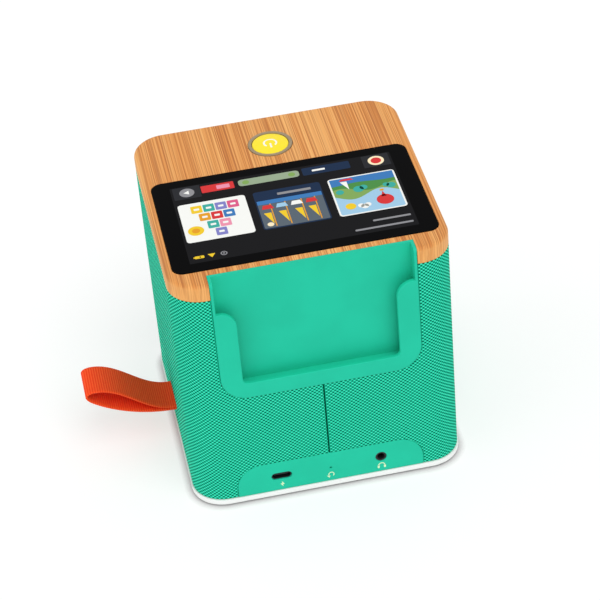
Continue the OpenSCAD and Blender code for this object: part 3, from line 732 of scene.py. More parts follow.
@dataclass(frozen=True)
class Webbing:
    """Woven webbing: ribs across the band, with closed edges."""

    name: str = "red_woven_webbing"
    # Crest and valley colours paint light and shade across the ribs.
    crest: Triple = srgb("FF5E2E")
    valley_shade: Triple = srgb("F03C18")
    pitch: float = CASE.rib_pitch
    thread: float = 0.7

    def make(self) -> bpy.types.Material:
        """Builds the webbing from its map of running length s and place across t.

        Returns:
            Ribs from cos(2 pi s / pitch), with threads from a finer wave of t; crests and threads
            are painted lighter as a highlight, valleys darker as painted shade.
        """
        g = Graph(self.name)
        band = g.place(uv="band")
        s, t, _ = g.parts(band)
        yarn = g.wave(t, self.thread)
        # Painted light and shade: lit goes from the valley colour to the crest colour along the
        # ribs and threads.
        lit = g.span(g.math("ADD", g.wave(s, self.pitch), g.math("MULTIPLY", yarn, 0.35)),
                     -1.1, 0.9)
        colour = g.mix(lit, self.valley_shade, self.crest)
        # Random clouding also darkens towards the valley colour.
        cloud = g.span(g.noise(band, 0.5), 0.35, 0.75, 0, 0.25)
        g.set(Base_Color=g.mix(cloud, colour, self.valley_shade), Roughness=0.7,
              Specular_IOR_Level=0.08)
        g.bump(g.math("ADD", yarn, g.noise(band, 8.0, 2)), 0.05, 0.6)
        return g.material


@dataclass(frozen=True)
class CircuitBoard:
    """Green solder mask with faint copper tracks below it."""

    name: str = "green_circuit_board"
    mask: Triple = srgb("1D5B36")
    track: Triple = srgb("2F7A48")

    def make(self) -> bpy.types.Material:
        """Builds the board.

        Returns:
            Tracks along the edges of square cells.
        """
        g = Graph(self.name)
        cells = g.fed(g.node("TexVoronoi", distance="MANHATTAN", feature="DISTANCE_TO_EDGE"),
                      Vector=g.place(), Scale=0.35)
        line = g.span(cells, 0.03, 0.08)
        g.set(Base_Color=g.mix(line, self.track, self.mask), Roughness=0.35)
        g.bump(line, 0.02, 0.5)
        return g.material


# ---------- Sub-assemblies ----------


@dataclass
class Piece:
    """What one finished piece is tied to."""

    shape: bpy.types.Object
    finish: bpy.types.Material
    slot: str
    body: Body = Body.MAIN
    stands_for: str | None = None

    def settle(self) -> bpy.types.Object:
        """Dresses the piece, ties it to its body, and reports it.

        Returns:
            The piece's object.
        """
        self.shape.data.materials.clear()
        self.shape.data.materials.append(self.finish)
        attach(self.shape, self.body.value)
        if self.stands_for:
            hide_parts(self.stands_for)
        log.info("%s: %d faces", self.shape.name, len(self.shape.data.polygons))
        return self.shape


@dataclass
class Cutout:
    """A rounded opening in the back of the cloth, as a signed distance."""

    half_w: float
    low: float
    high: float
    radius: float
    round_low: bool

    def distance(self, x: Array, z: Array) -> Array:
        """Distance outwards from the opening's edge, negative inside.

        Args:
            x: places across the back.
            z: heights.

        Returns:
            Distance to a rectangle whose two round corners lie low or high:
            |max(q, 0)| + min(max(qx, qz), 0) - r, q being the offset from it.
        """
        middle, half_h = (self.low + self.high) / 2, (self.high - self.low) / 2
        side = z < middle if self.round_low else z >= middle
        r = np.where(side, self.radius, 0.0)
        qx = np.abs(x) - self.half_w + r
        qz = np.abs(z - middle) - half_h + r
        outside = np.hypot(np.maximum(qx, 0), np.maximum(qz, 0))
        return outside + np.minimum(np.maximum(qx, qz), 0) - r


@dataclass
class ClothSleeve:
    """The sleeve of mesh cloth that is drawn over the housing."""

    low: float = CASE.rim_z
    high: float = CASE.top_low - CASE.gap
    thickness: float = 1.2
    step: float = 0.9
    snap: float = 0.55
    column_gap: float = 0.14
    row_gap: float = 0.03
    pocket_half: float = CASE.pocket_half + CASE.gap
    pocket_z: float = CASE.pocket_z - CASE.gap
    pocket_r: float = CASE.pocket_r + CASE.gap
    panel_half: float = CASE.panel_half + CASE.gap
    panel_z: float = CASE.panel_z + CASE.gap
    panel_r: float = CASE.panel_r + CASE.gap
    strap_half: float = CASE.strap_w / 2 + 0.4
    strap_z: float = CASE.strap_z
    strap_slot: float = 1.7
    strap_reach: float = 13.0
    seam_depth: float = 0.55
    seam_w: float = 0.3
    seam_reach: float = 0.55
    hem_r: float = 0.6

    def turn(self, s: Array) -> tuple[Array, Array]:
        """Walks round the body from the middle of the back.

        Args:
            s: running length, counter-clockwise seen from above.

        Returns:
            Points and outward directions: straight sides joined by quarter
            circles of the corner radius.
        """
        flat, side_l = CASE.flat, CASE.side_l
        along = np.mod(s + flat / 2, 4 * side_l)
        side = np.floor(along / side_l)
        rest = along - side * side_l
        base = np.pi / 2 * (1 + side)
        angle = base + np.maximum(rest - flat, 0) / CASE.corner_r
        out = np.stack([np.cos(angle), np.sin(angle)], -1)
        face = np.stack([np.cos(base), np.sin(base)], -1)
        ahead = np.stack([-np.sin(base), np.cos(base)], -1)
        walk = np.minimum(rest, flat) - flat / 2
        centre = flat / 2 * face + ahead * walk[..., None]
        return centre + CASE.corner_r * out, out

    @staticmethod
    def spaced(values: Array, least: float) -> Array:
        """Sorts values and drops each one that is closer than least to the one below."""
        values = np.unique(np.round(values, 4))
        return values[np.concatenate([[True], np.diff(values) > least])]

    def columns(self) -> Array:
        """Places the grid's columns close together near openings.

        Returns:
            Running lengths, with one column on each opening's upright edge. The
            webbing comes out in the middle of the fourth side.
        """
        flat, side_l, strap = CASE.flat, CASE.side_l, 3 * CASE.side_l
        exact = np.array([self.pocket_half, self.panel_half, self.seam_w / 2, self.seam_w,
                          self.seam_reach, flat / 2])
        every = [np.arange(-flat / 2, flat / 2 + 0.01, self.step), exact, -exact, [0.0],
                 strap + np.array([-self.strap_half, self.strap_half]),
                 strap + np.linspace(-self.strap_reach, self.strap_reach, 30)]
        every += [k * side_l + flat / 2 + np.linspace(0, side_l - flat, 15) for k in range(4)]
        every += [k * side_l + np.linspace(-flat / 2, flat / 2, 16) for k in (1, 2, 3)]
        total = 4 * side_l
        every = np.append(np.mod(np.concatenate(every), total), total)
        return self.spaced(every, self.column_gap)

    def rows(self) -> Array:
        """Places the grid's rows close together at the hems.

        Returns:
            Heights, with one row on each opening's level edge.
        """
        hem = self.hem_r * (1 - np.cos(np.linspace(0, np.pi / 2, 5)))
        exact = [self.pocket_z, self.panel_z,
                 self.strap_z - self.strap_slot, self.strap_z + self.strap_slot]
        middle = np.arange(self.low + self.hem_r, self.high - self.hem_r, self.step)
        return self.spaced(np.concatenate(
            [self.low + hem, self.high - hem, exact, middle]), self.row_gap)

    def open_distance(self, s: Array, z: Array) -> Array:
        """Distance from the nearest opening, which runs past a hem where it is open.

        Args:
            s: running lengths.
            z: heights.

        Returns:
            The least of the distances to pocket, panel and slot.
        """
        past, half_way = 40.0, 2 * CASE.side_l
        x = np.mod(s + half_way, 2 * half_way) - half_way
        pocket = Cutout(self.pocket_half, self.pocket_z, self.high + past, self.pocket_r, True)
        panel = Cutout(self.panel_half, self.low - past, self.panel_z, self.panel_r, False)
        slot = Cutout(self.strap_half, self.strap_z - self.strap_slot,
                      self.strap_z + self.strap_slot, 0.01, True)
        return np.minimum.reduce([pocket.distance(x, z), panel.distance(x, z),
                                  slot.distance(s - 3 * CASE.side_l, z)])

    def build(self) -> bpy.types.Object:
        """Makes the cloth as a grid of running length and height.

        Returns:
            The sleeve. Points near an opening are drawn onto its edge along the
            distance's slope, the back seam is a groove of
            depth * exp(-(s / w) ** 2), and the hems roll in by
            r / 2 * (1 - sqrt(1 - (1 - h / r) ** 2)), h being the height over the hem.
        """
        s, z = np.meshgrid(self.columns(), self.rows())
        d = self.open_distance(s, z)
        e = 1e-3
        slope_s = (self.open_distance(s + e, z) - self.open_distance(s - e, z)) / (2 * e)
        slope_z = (self.open_distance(s, z + e) - self.open_distance(s, z - e)) / (2 * e)
        near = np.abs(d) < self.step * self.snap
        s = s - np.where(near, d * slope_s, 0)
        z = z - np.where(near, d * slope_z, 0)
        d = np.where(near, 0, d)
        place, out = self.turn(s)
        hem = np.minimum(z - self.low, self.high - z)
        t = np.clip(1 - hem / self.hem_r, 0, 1)
        from_seam = np.minimum(s, s.max() - s)
        inwards = 0.5 * self.hem_r * (1 - np.sqrt(1 - t ** 2)) \
            + self.seam_depth * np.exp(-(from_seam / self.seam_w) ** 2)
        place = place - out * inwards[..., None]
        points = np.concatenate([place, z[..., None]], -1).reshape(-1, 3)
        at = np.arange(s.size).reshape(s.shape)
        quads = np.stack([at[:-1, :-1], at[:-1, 1:], at[1:, 1:], at[1:, :-1]], -1)
        quads = quads.reshape(-1, 4)
        kept = (d.ravel() > -1e-6)[quads]
        three = kept.sum(1) == 3
        corners = quads[three][kept[three]].reshape(-1, 3)
        uv = np.stack([s, z], -1).reshape(-1, 2)
        return self.mesh(points, uv, [*quads[kept.all(1)].tolist(), *corners.tolist()])

    def mesh(self, points: Array, uv: Array, faces: list[list[int]]) -> bpy.types.Object:
        """Writes the grid as a mesh with its cloth map in mm.

        Args:
            points: every grid point.
            uv: running length and height at each point.
            faces: point numbers of each face.

        Returns:
            The sleeve's object, its loose points removed.
        """
        used, faces_at = np.unique(np.concatenate(faces), return_inverse=True)
        ends = np.cumsum([len(f) for f in faces])
        faces = [part.tolist() for part in np.split(faces_at, ends[:-1])]
        mesh = bpy.data.meshes.new("mesh_cloth_sleeve")
        mesh.from_pydata((points[used] * MM).tolist(), [], faces)
        write_map(mesh, "cloth", uv[used])
        weld(mesh, 1e-6, slivers=False, outward=False)
        piece = put("mesh_cloth_sleeve", mesh)
        thicken(piece, self.thickness, -1)
        return piece

    def dress(self, finish: bpy.types.Material) -> None:
        """Args:
            finish: the cloth's material.
        """
        sleeve = Piece(self.build(), finish, "mint_fabric",
                       stands_for="fabric_sleeve").settle()


@dataclass
class WebbingLoop:
    """One band of webbing, folded to a loop that comes out of the side."""

    side_x: float = CASE.half
    out_z: float = CASE.strap_z
    width: float = CASE.strap_w
    thickness: float = 1.3
    slack: float = 0.01
    tail: float = 12.5
    crest: Point = (35.5, 17.4)
    nose: Point = (37.8, 11.3)
    lines: int = 13
    rib_pitch: float = CASE.rib_pitch
    rib_depth: float = 0.09
    step: float = 0.22

    def path(self) -> tuple[Array, Array, Array]:
        """The band's middle line in the XZ plane.

        Returns:
            Points, left-hand directions and running lengths, from the upper
            layer's inner end over three Bezier curves to the lower one's.
        """
        half = self.thickness / 2 + self.slack
        curves = [
            [(0, half), (14, 0), (22, 16.5), self.crest],
            [self.crest, (40, 17.7), (43.4, 15.5), self.nose],
            [self.nose, (33.8, 8.3), (20, -half), (0, -half)],
        ]
        t = np.linspace(0, 1, 160)
        line = [np.array([[-self.tail, half]])]
        line += [bezier(np.array(c, float), t)[i > 0:] for i, c in enumerate(curves)]
        line += [np.array([[-self.tail, -half]])]
        points, run = resample(np.concatenate(line), self.step)
        ahead = np.gradient(points, axis=0)
        ahead /= np.linalg.norm(ahead, axis=1)[:, None]
        left = np.stack([-ahead[:, 1], ahead[:, 0]], 1)
        return points + np.array([self.side_x, self.out_z]), left, run

    def build(self) -> bpy.types.Object:
        """Carries the band's section along its path.

        Returns:
            The loop. Half the thickness is h - d * (1 - cos(2 pi s / pitch)) / 2
            between edges of radius h, s being the running length.
        """
        points, left, run = self.path()
        h = self.thickness / 2
        rib = h - self.rib_depth * (1 - np.cos(2 * np.pi * run / self.rib_pitch)) / 2
        flat = np.linspace(-1, 1, self.lines) * (self.width / 2 - h)
        edge = np.radians(np.linspace(90, -90, 7)[1:-1])
        across = np.concatenate([flat, flat[-1] + h * np.cos(edge),
                                 flat[::-1], flat[0] - h * np.cos(edge)])
        level = np.ones(self.lines)
        up = np.concatenate([level, np.sin(edge), -level, -np.sin(edge)]) * rib[:, None]
        rings = np.stack([
            points[:, :1] + left[:, :1] * up,
            np.broadcast_to(across, up.shape),
            points[:, 1:] + left[:, 1:] * up], -1)
        piece = Shell().loft(rings).cap(rings[0]).cap(rings[-1]).build("webbing_loop", sharp=60)
        self.map(piece.data, points, run)
        return piece

    def map(self, mesh: bpy.types.Mesh, points: Array, run: Array) -> None:
        """Writes a band map of (running length, place across) in mm.

        Args:
            mesh: the band's mesh.
            points: its middle line.
            run: running length at each point of the line.
        """
        spots = np.zeros(len(mesh.vertices) * 3, np.float32)
        mesh.vertices.foreach_get("co", spots)
        spots = spots.reshape(-1, 3) / MM
        nearest = np.argmin(((spots[:, None, [0, 2]] - points[None]) ** 2).sum(-1), 1)
        write_map(mesh, "band", np.stack([run[nearest], spots[:, 1]], 1))

    def dress(self, finish: bpy.types.Material) -> None:
        """Args:
            finish: the webbing's material.
        """
        loop = Piece(self.build(), finish, "red_webbing", stands_for="strap_loop").settle()
        length = float(self.path()[2][-1])


@dataclass
class BambooTop:
    """The bamboo plate with its recess for the glass, its bore and its notch."""

    low: float = CASE.top_low
    high: float = CASE.top_z
    edge_r: float = CASE.edge_r
    foot_r: float = 0.3
    ease_r: float = 0.25
    notch_half: float = CASE.pocket_half + CASE.gap
    notch_y: float = CASE.pocket_back_y - CASE.gap
    window: Triple = (106.3, 65.3, 0.5)
    bore_r: float = CASE.ring_r + CASE.gap

    def outline(self, inset: float) -> Array:
        """The plate's outline, drawn in but not at its notch.

        Args:
            inset: how far it is drawn in.

        Returns:
            The notch's four corners and the arcs of the four round corners.
        """
        c, r, back = CASE.flat / 2, CASE.corner_r - inset, CASE.half - inset
        corners = [(-c, c), (-c, -c), (c, -c), (c, c)]
        notch = [(self.notch_half, back), (self.notch_half, self.notch_y),
                 (-self.notch_half, self.notch_y), (-self.notch_half, back)]
        return np.concatenate([np.array(notch)] + [
            arc(at, r, 90 + 90 * k, 180 + 90 * k, 16) for k, at in enumerate(corners)])

    def opening(self, size: Triple, z: float, grow: float = 0.0) -> Array:
        """A rounded rectangle round the glass's middle.

        Args:
            size: its width, length and corner radius.
            z: its height.
            grow: how far it is widened on every side.

        Returns:
            The ring's points.
        """
        w, l, r = size
        loop = round_loop(w + 2 * grow, l + 2 * grow, r + grow, (0, CASE.glass_y))
        return lay(loop, Plane.XY, z)

    def bore(self, z: float, grow: float = 0.0) -> Array:
        """A ring of the button's bore."""
        return lay(circle_loop(self.bore_r + grow, (0, CASE.button_y), 64), Plane.XY, z)

    def build(self) -> bpy.types.Object:
        """Stacks the outline and the walls of the openings.

        Returns:
            The plate: outlines drawn in along quarter rounds at both edges, the
            recess stepping in to the screen's window, and the button's bore.
        """
        up = [(i, self.high - d) for i, d in quarter(self.edge_r, 8)]
        down = [(i, self.low + d) for i, d in quarter(self.foot_r, 2)[::-1]]
        outer = [lay(self.outline(i), Plane.XY, z) for i, z in down + up]
        ease = [(self.high - depth, grow) for depth, grow in quarter(self.ease_r, 3)]
        walls = [self.opening(CASE.glass, z, CASE.gap + grow) for z, grow in ease]
        walls += [self.opening(CASE.glass, CASE.glass_low, CASE.gap),
                  self.opening(self.window, CASE.glass_low),
                  self.opening(self.window, self.low)]
        bore = [self.bore(z, grow) for z, grow in ease] + [self.bore(self.low)]
        shell = Shell().loft(outer).loft(walls).loft(bore)
        shell.cap(outer[-1], [walls[0], bore[0]]).cap(outer[0], [walls[-1], bore[-1]])
        piece = shell.build("bamboo_plate")
        even_normals(piece)
        return piece

    def dress(self, finish: bpy.types.Material) -> None:
        """Builds the plate and sets it in place."""
        Piece(self.build(), finish, "bamboo", stands_for="bamboo_top").settle()


@dataclass
class CoverGlass:
    """The cover glass with its softened edge."""

    size: Triple = CASE.glass
    low: float = CASE.glass_low
    high: float = CASE.glass_z
    middle: Point = (0.0, CASE.glass_y)
    edge_r: float = 0.3

    def build(self) -> bpy.types.Object:
        """Stacks rounded rectangles.

        Returns:
            The glass, its upper edge drawn in by a quarter round.
        """
        w, l, r = self.size
        steps = [(0.0, self.low)] + [(i, self.high - d) for i, d in quarter(self.edge_r)]
        rings = [lay(round_loop(w - 2 * i, l - 2 * i, r - i, self.middle), Plane.XY, z)
                 for i, z in steps]
        piece = Shell().loft(rings).cap(rings[0]).cap(rings[-1]).build("cover_glass")
        even_normals(piece)
        return piece

    def dress(self, finish: bpy.types.Material) -> None:
        """Builds the glass and sets it in place."""
        Piece(self.build(), finish, "cover_glass", stands_for="display_glass").settle()


class Ink(Enum):
    """Colours of the screen's picture."""

    PANEL = "1A1A1C"
    WELL = "2B2C30"
    WHITE = "EDEEEA"
    GREY = "8C8C90"
    YELLOW = "E9C431"
    AMBER = "DE9A2C"
    GREEN = "7FA35A"
    SAGE = "93A58A"
    LEAF = "4C8A48"
    SKY = "9CC4DE"
    SEA = "3F78B4"
    NAVY = "20304A"
    STEEL = "59646E"
    ROSE = "E58FA8"
    PINK = "D65C86"
    RED = "D0393A"
    TEAL = "3FA79B"
    LILAC = "7F7FC0"
    CREAM = "F3E3BE"


@dataclass
class Paper:
    """A field to draw on. Places are shares of its size, (right, up) as it is read."""

    areas: list[tuple[Array, Ink, int]]
    x: float = 0.0
    y: float = 0.0
    w: float = 1.0
    h: float = 1.0

    def spots(self, places: Sequence[Point] | Array) -> Array:
        """Turns shares into mm from the screen's middle."""
        return np.array([self.x, self.y]) + np.array(places) * np.array([self.w, self.h])

    def area(self, ink: Ink, level: int, places: Sequence[Point] | Array) -> None:
        """Adds one flat area by its corners."""
        self.areas.append((self.spots(places), ink, level))

    def box(self, ink: Ink, level: int, x: float, y: float, w: float, h: float,
            r: float = 0.4) -> None:
        """Adds a rounded rectangle of w x h mm round a middle point."""
        loop = round_loop(w, h, min(r, w / 2.01, h / 2.01), self.spots((x, y)), 5)
        self.areas.append((loop, ink, level))

    def disc(self, ink: Ink, level: int, x: float, y: float, r: float) -> None:
        """Adds a disc; its radius is a share of the field's height."""
        self.areas.append((circle_loop(r * self.h, self.spots((x, y)), 32), ink, level))


def draw_hills(card: Paper) -> None:
    """Draws a balloon over rolling hills and a lake; ridges are b + s * sin(7 t + 2 k).

    Args:
        card: the field it fills.
    """
    card.box(Ink.WHITE, 2, 0, 0, card.w, card.h, 1.6)
    card.box(Ink.SKY, 3, 0, 0, card.w - 1.6, card.h - 1.6, 1.0)
    t = np.linspace(-0.5, 0.5, 40)
    across, foot = 1 - 1.6 / card.w, 0.8 / card.h - 0.5
    for k, (ink, level, base, swing) in enumerate((
            (Ink.GREEN, 4, 0.02, 0.09), (Ink.LEAF, 5, -0.14, 0.07), (Ink.SEA, 6, -0.3, 0.02))):
        ridge = np.stack([t * across, base + swing * np.sin(7 * t + 2 * k)], 1)
        card.area(ink, level, [*ridge, (across / 2, foot), (-across / 2, foot)])
    card.disc(Ink.RED, 7, -0.22, 0.24, 0.13)
    card.area(Ink.RED, 7, [(-0.26, 0.16), (-0.18, 0.16), (-0.22, 0.02)])
    card.box(Ink.AMBER, 8, -0.22, -0.01, 0.06 * card.w, 0.05 * card.h, 0.2)
    card.disc(Ink.YELLOW, 7, 0.3, 0.28, 0.08)
    card.area(Ink.RED, 8, [(0.12, -0.4), (0.34, -0.4), (0.3, -0.45), (0.16, -0.45)])
    card.area(Ink.WHITE, 8, [(0.23, -0.38), (0.33, -0.38), (0.23, -0.16)])
    for cloud in ((0.05, 0.3, 0.05), (0.1, 0.33, 0.06), (0.15, 0.3, 0.05)):
        card.disc(Ink.WHITE, 7, *cloud)
    for bush in ((-0.38, -0.1, 0.07), (-0.31, -0.13, 0.05), (0.02, -0.16, 0.06),
                 (0.1, -0.13, 0.08), (0.38, -0.12, 0.06)):
        card.disc(Ink.TEAL, 7, *bush)


def draw_harbour(card: Paper) -> None:
    """Draws a night harbour with boats, masts and a moon.

    Args:
        card: the field it fills.
    """
    card.box(Ink.NAVY, 2, 0, 0, card.w, card.h, 1.4)
    card.box(Ink.STEEL, 3, 0, 0.12, card.w - 1.2, 0.7 * card.h, 0.6)
    for x in (-0.36, -0.16, 0.08, 0.3):
        card.box(Ink.AMBER, 4, x, 0.14, 0.5, 0.6 * card.h, 0.1)
        card.area(Ink.YELLOW, 5, [(x + 0.02, 0.38), (x + 0.13, 0.08), (x + 0.02, 0.08)])
    for x, ink in ((-0.3, Ink.RED), (-0.08, Ink.WHITE), (0.14, Ink.SKY), (0.35, Ink.RED)):
        card.area(ink, 6, [(x - 0.09, -0.02), (x + 0.09, -0.02),
                           (x + 0.06, -0.12), (x - 0.06, -0.12)])
    card.box(Ink.SEA, 5, 0, -0.2, card.w - 1.2, 0.1 * card.h, 0.2)
    card.disc(Ink.CREAM, 6, 0.38, 0.38, 0.05)
    card.box(Ink.GREY, 4, -0.1, -0.37, 0.5 * card.w, 0.06 * card.h, 0.3)


def draw_blocks(card: Paper) -> None:
    """Draws toy blocks in a tower on a white ground.

    Args:
        card: the field it fills.
    """
    card.box(Ink.WHITE, 2, 0, 0, card.w, card.h, 1.6)
    for x, y, ink in (
            (-0.3, -0.32, Ink.PINK), (-0.12, -0.32, Ink.LILAC), (0.06, -0.32, Ink.TEAL),
            (0.24, -0.32, Ink.YELLOW), (-0.21, -0.1, Ink.SEA), (-0.03, -0.1, Ink.RED),
            (0.15, -0.1, Ink.AMBER), (-0.12, 0.12, Ink.ROSE), (0.06, 0.12, Ink.TEAL),
            (-0.03, 0.33, Ink.LILAC)):
        card.box(ink, 4, x, y, 0.165 * card.w, 0.19 * card.h, 0.5)
        card.box(Ink.WHITE, 5, x, y, 0.08 * card.w, 0.05 * card.h, 0.3)
    card.disc(Ink.YELLOW, 4, 0.33, 0.22, 0.12)
    card.disc(Ink.AMBER, 5, 0.33, 0.22, 0.06)


@dataclass
class ScreenPicture:
    """A plain picture for the screen: three cards, a strip below and icons."""

    glass_z: float = CASE.glass_z
    lift: float = 0.02
    layer: float = 0.012
    middle: Point = (0.0, CASE.glass_y)
    width: float = 101.6
    length: float = 59.8
    card: float = 30.6
    card_h: float = 30.0
    card_y: float = -0.6
    pitch: float = 34.2
    strip_in: float = 5.2
    marks_in: float = 4.0

    def layout(self) -> list[tuple[Array, Ink, int]]:
        """Places every area: ground, cards, strip, buttons, icons and bars.

        Returns:
            Outlines in mm from the screen's middle, each with its colour and level.
        """
        screen = Paper([])
        screen.box(Ink.PANEL, 0, 0, 0, self.width, self.length, 0.3)
        for k, draw in enumerate((draw_hills, draw_harbour, draw_blocks)):
            draw(Paper(screen.areas, self.pitch * (k - 1), self.card_y, self.card, self.card_h))
        row = self.strip_in - self.length / 2
        for ink, level, x, y, w, h, r in (
                (Ink.WELL, 1, -43.6, 0, 12.4, 9.6, 0.4), (Ink.WELL, 1, 43.6, 0, 12.4, 9.6, 0.4),
                (Ink.NAVY, 1, -20.5, -0.6, 22.0, 6.0, 0.8),
                (Ink.WHITE, 2, -17.0, -0.6, 6.0, 1.4, 0.3),
                (Ink.SAGE, 1, 6.0, -0.4, 28.0, 5.2, 1.8), (Ink.RED, 1, 29.5, -0.4, 15.0, 5.6, 0.5),
                (Ink.ROSE, 2, 27.0, -0.4, 6.0, 3.0, 0.3)):
            screen.box(ink, level, x, row + y, w, h, r)
        for ink, level, x, y, r in (
                (Ink.CREAM, 2, -43.6, 0, 3.7), (Ink.RED, 3, -43.6, 0, 2.4),
                (Ink.GREY, 2, 43.6, 0, 3.4), (Ink.GREEN, 2, -4.6, -0.4, 1.6),
                (Ink.GREEN, 2, 16.6, -0.4, 1.6)):
            screen.disc(ink, level, x, row + y, r)
        screen.area(Ink.WHITE, 3, [(42.7, row - 1.5), (45.2, row), (42.7, row + 1.5)])
        row = self.length / 2 - self.marks_in
        for ink, level, r in ((Ink.GREY, 1, 1.5), (Ink.PANEL, 2, 1.0), (Ink.GREY, 3, 0.5)):
            screen.disc(ink, level, 35.2, row, r)
        screen.area(Ink.YELLOW, 1, [(38.9, row - 1.2), (42.3, row - 1.2), (40.6, row + 1.5)])
        for ink, level, x, y, w, h, r in (
                (Ink.YELLOW, 1, 46.0, 0, 4.2, 1.9, 0.4), (Ink.YELLOW, 1, 48.4, 0, 0.5, 0.9, 0.1),
                (Ink.PANEL, 2, 45.7, 0, 0.5, 1.1, 0.1), (Ink.GREY, 1, -36.0, 0.6, 26.0, 1.3, 0.5),
                (Ink.GREY, 1, -40.5, -4.6, 17.0, 1.3, 0.5)):
            screen.box(ink, level, x, row + y, w, h, r)
        return screen.areas

    @staticmethod
    def upward(points: Array, tri: tuple[int, int, int], first: int) -> tuple[int, ...]:
        """Numbers a triangle's points so that it faces up.

        Args:
            points: the outline's points.
            tri: three of them by number.
            first: number of the outline's first point in the mesh.

        Returns:
            The triangle in the mesh's numbers, counter-clockwise.
        """
        a, b, c = points[list(tri), :2]
        turn = (b[0] - a[0]) * (c[1] - a[1]) - (b[1] - a[1]) * (c[0] - a[0])
        return tuple(first + i for i in (tri if turn > 0 else tri[::-1]))

    def build(self) -> bpy.types.Object:
        """Lays the areas on the glass in thin layers and paints them.

        Returns:
            One mesh with a colour for each face. The user reads the screen from
            the front, so right is +X and up is +Y.
        """
        points, faces, inks, first = [], [], [], 0
        for outline, ink, level in self.layout():
            z = self.glass_z + self.lift + self.layer * level
            points.append(lay(outline + np.array(self.middle), Plane.XY, z))
            tris = tessellate_polygon([[Vector(p) for p in points[-1].tolist()]])
            faces += [self.upward(points[-1], tri, first) for tri in tris]
            inks += [ink] * len(tris)
            first += len(outline)
        mesh = bpy.data.meshes.new("screen_picture")
        mesh.from_pydata((np.concatenate(points) * MM).tolist(), [], faces)
        paint = mesh.attributes.new("paint", "FLOAT_COLOR", "CORNER")
        values = np.repeat(np.array([(*srgb(i.value), 1) for i in inks]), 3, axis=0)
        paint.data.foreach_set("color", values.astype(np.float32).ravel())
        return put("screen_picture", mesh)

    def dress(self, finish: bpy.types.Material) -> None:
        """Builds the picture and sets it on the glass."""
        Piece(self.build(), finish, "panel").settle()


@dataclass
class PushButton:
    """The yellow push button in its ring."""

    y: float = CASE.button_y
    ring_r: float = CASE.ring_r
    ring_in_r: float = 8.7
    ledge_r: float = 9.7
    ring_low: float = 117.7
    ledge_z: float = 120.4
    ring_high: float = 124.8
    ease: float = 0.18
    cap_r: float = 8.5
    flange_r: float = 9.5
    flange_low: float = 119.0
    flange_high: float = 120.2
    hollow_r: float = 5.5
    hollow_z: float = 121.9
    cap_high: float = 125.1
    dome: float = 0.5
    roll_r: float = 0.35
    roll_h: float = 0.36
    sign_r: float = 2.9
    sign_w: float = 0.85
    sign_gap: float = 42.0
    bar_y: Point = (0.5, 4.0)
    print_h: float = 0.04
    print_gap: float = 0.004

    def dome_z(self, r: Array) -> Array:
        """Height of the cap's face: top - dome * (r / cap radius) ** 2."""
        return self.cap_high - self.dome * (r / self.cap_r) ** 2

    def ring(self) -> bpy.types.Object:
        """Turns the ring's closed profile.

        Returns:
            The ring, its two upper edges eased.
        """
        e, near, top = self.ease, 0.3 * self.ease, self.ring_high
        profile = np.array([
            [self.ledge_r, self.ring_low], [self.ring_r, self.ring_low],
            [self.ring_r, top - e], [self.ring_r - near, top - near], [self.ring_r - e, top],
            [self.ring_in_r + e, top], [self.ring_in_r + near, top - near],
            [self.ring_in_r, top - e], [self.ring_in_r, self.ledge_z],
            [self.ledge_r, self.ledge_z], [self.ledge_r, self.ring_low]])
        return Shell().loft(revolve(profile, (0, self.y))).build("button_ring", 35)

    def cap(self) -> bpy.types.Object:
        """Turns the cap's profile.

        Returns:
            The hollow cap with its domed face, its rolled edge and its flange.
        """
        r = np.linspace(0.0, self.cap_r - self.roll_r, 14)
        face = np.stack([r, self.dome_z(r)], 1)
        a = np.radians([30, 60, 90])
        start = np.array([self.cap_r, self.dome_z(self.cap_r)]) - self.roll_r
        roll = start + np.stack([self.roll_r * np.sin(a), self.roll_h * np.cos(a)], 1)
        under = np.array([[self.cap_r, self.flange_high], [self.flange_r, self.flange_high],
                          [self.flange_r, self.flange_low], [self.hollow_r, self.flange_low],
                          [self.hollow_r, self.hollow_z], [0.0, self.hollow_z]])
        profile = np.concatenate([face, roll, under])
        return Shell().loft(revolve(profile, (0, self.y))).build("button_face", 45)

    def sign(self) -> bpy.types.Object:
        """Prints a plain power sign, read from the front.

        Returns:
            An open ring and a bar on the cap's dome.
        """
        a = np.radians(np.linspace(90 + self.sign_gap, 450 - self.sign_gap, 49))
        stroke = self.sign_w * np.linspace(-0.5, 0.5, 4)
        r = (self.sign_r + stroke)[:, None]
        ring = np.stack([r * np.cos(a), r * np.sin(a)], -1)
        bar = np.stack(np.meshgrid(stroke, np.linspace(*self.bar_y, 12), indexing="ij"), -1)[::-1]
        shell = Shell()
        for x, y in (np.moveaxis(part, -1, 0) for part in (ring, bar)):
            height = self.dome_z(np.hypot(x, y)) + self.print_gap
            shell.loft(np.stack([x, y + self.y, height], -1), closed=False)
        piece = shell.build("button_sign", outward=False)
        thicken(piece, self.print_h, 1)
        return piece

    def dress(self, ring: bpy.types.Material, cap: bpy.types.Material,
              sign: bpy.types.Material) -> None:
        """Builds ring, cap and sign; the cap and the sign move with the button.

        Args:
            ring: the ring's material.
            cap: the cap's material.
            sign: the sign's material.
        """
        Piece(self.ring(), ring, "ring_plastic", stands_for="button_ring").settle()
        Piece(self.cap(), cap, "yellow_plastic", Body.BUTTON, "button_cap").settle()
        Piece(self.sign(), sign, "white_plastic", Body.BUTTON).settle()


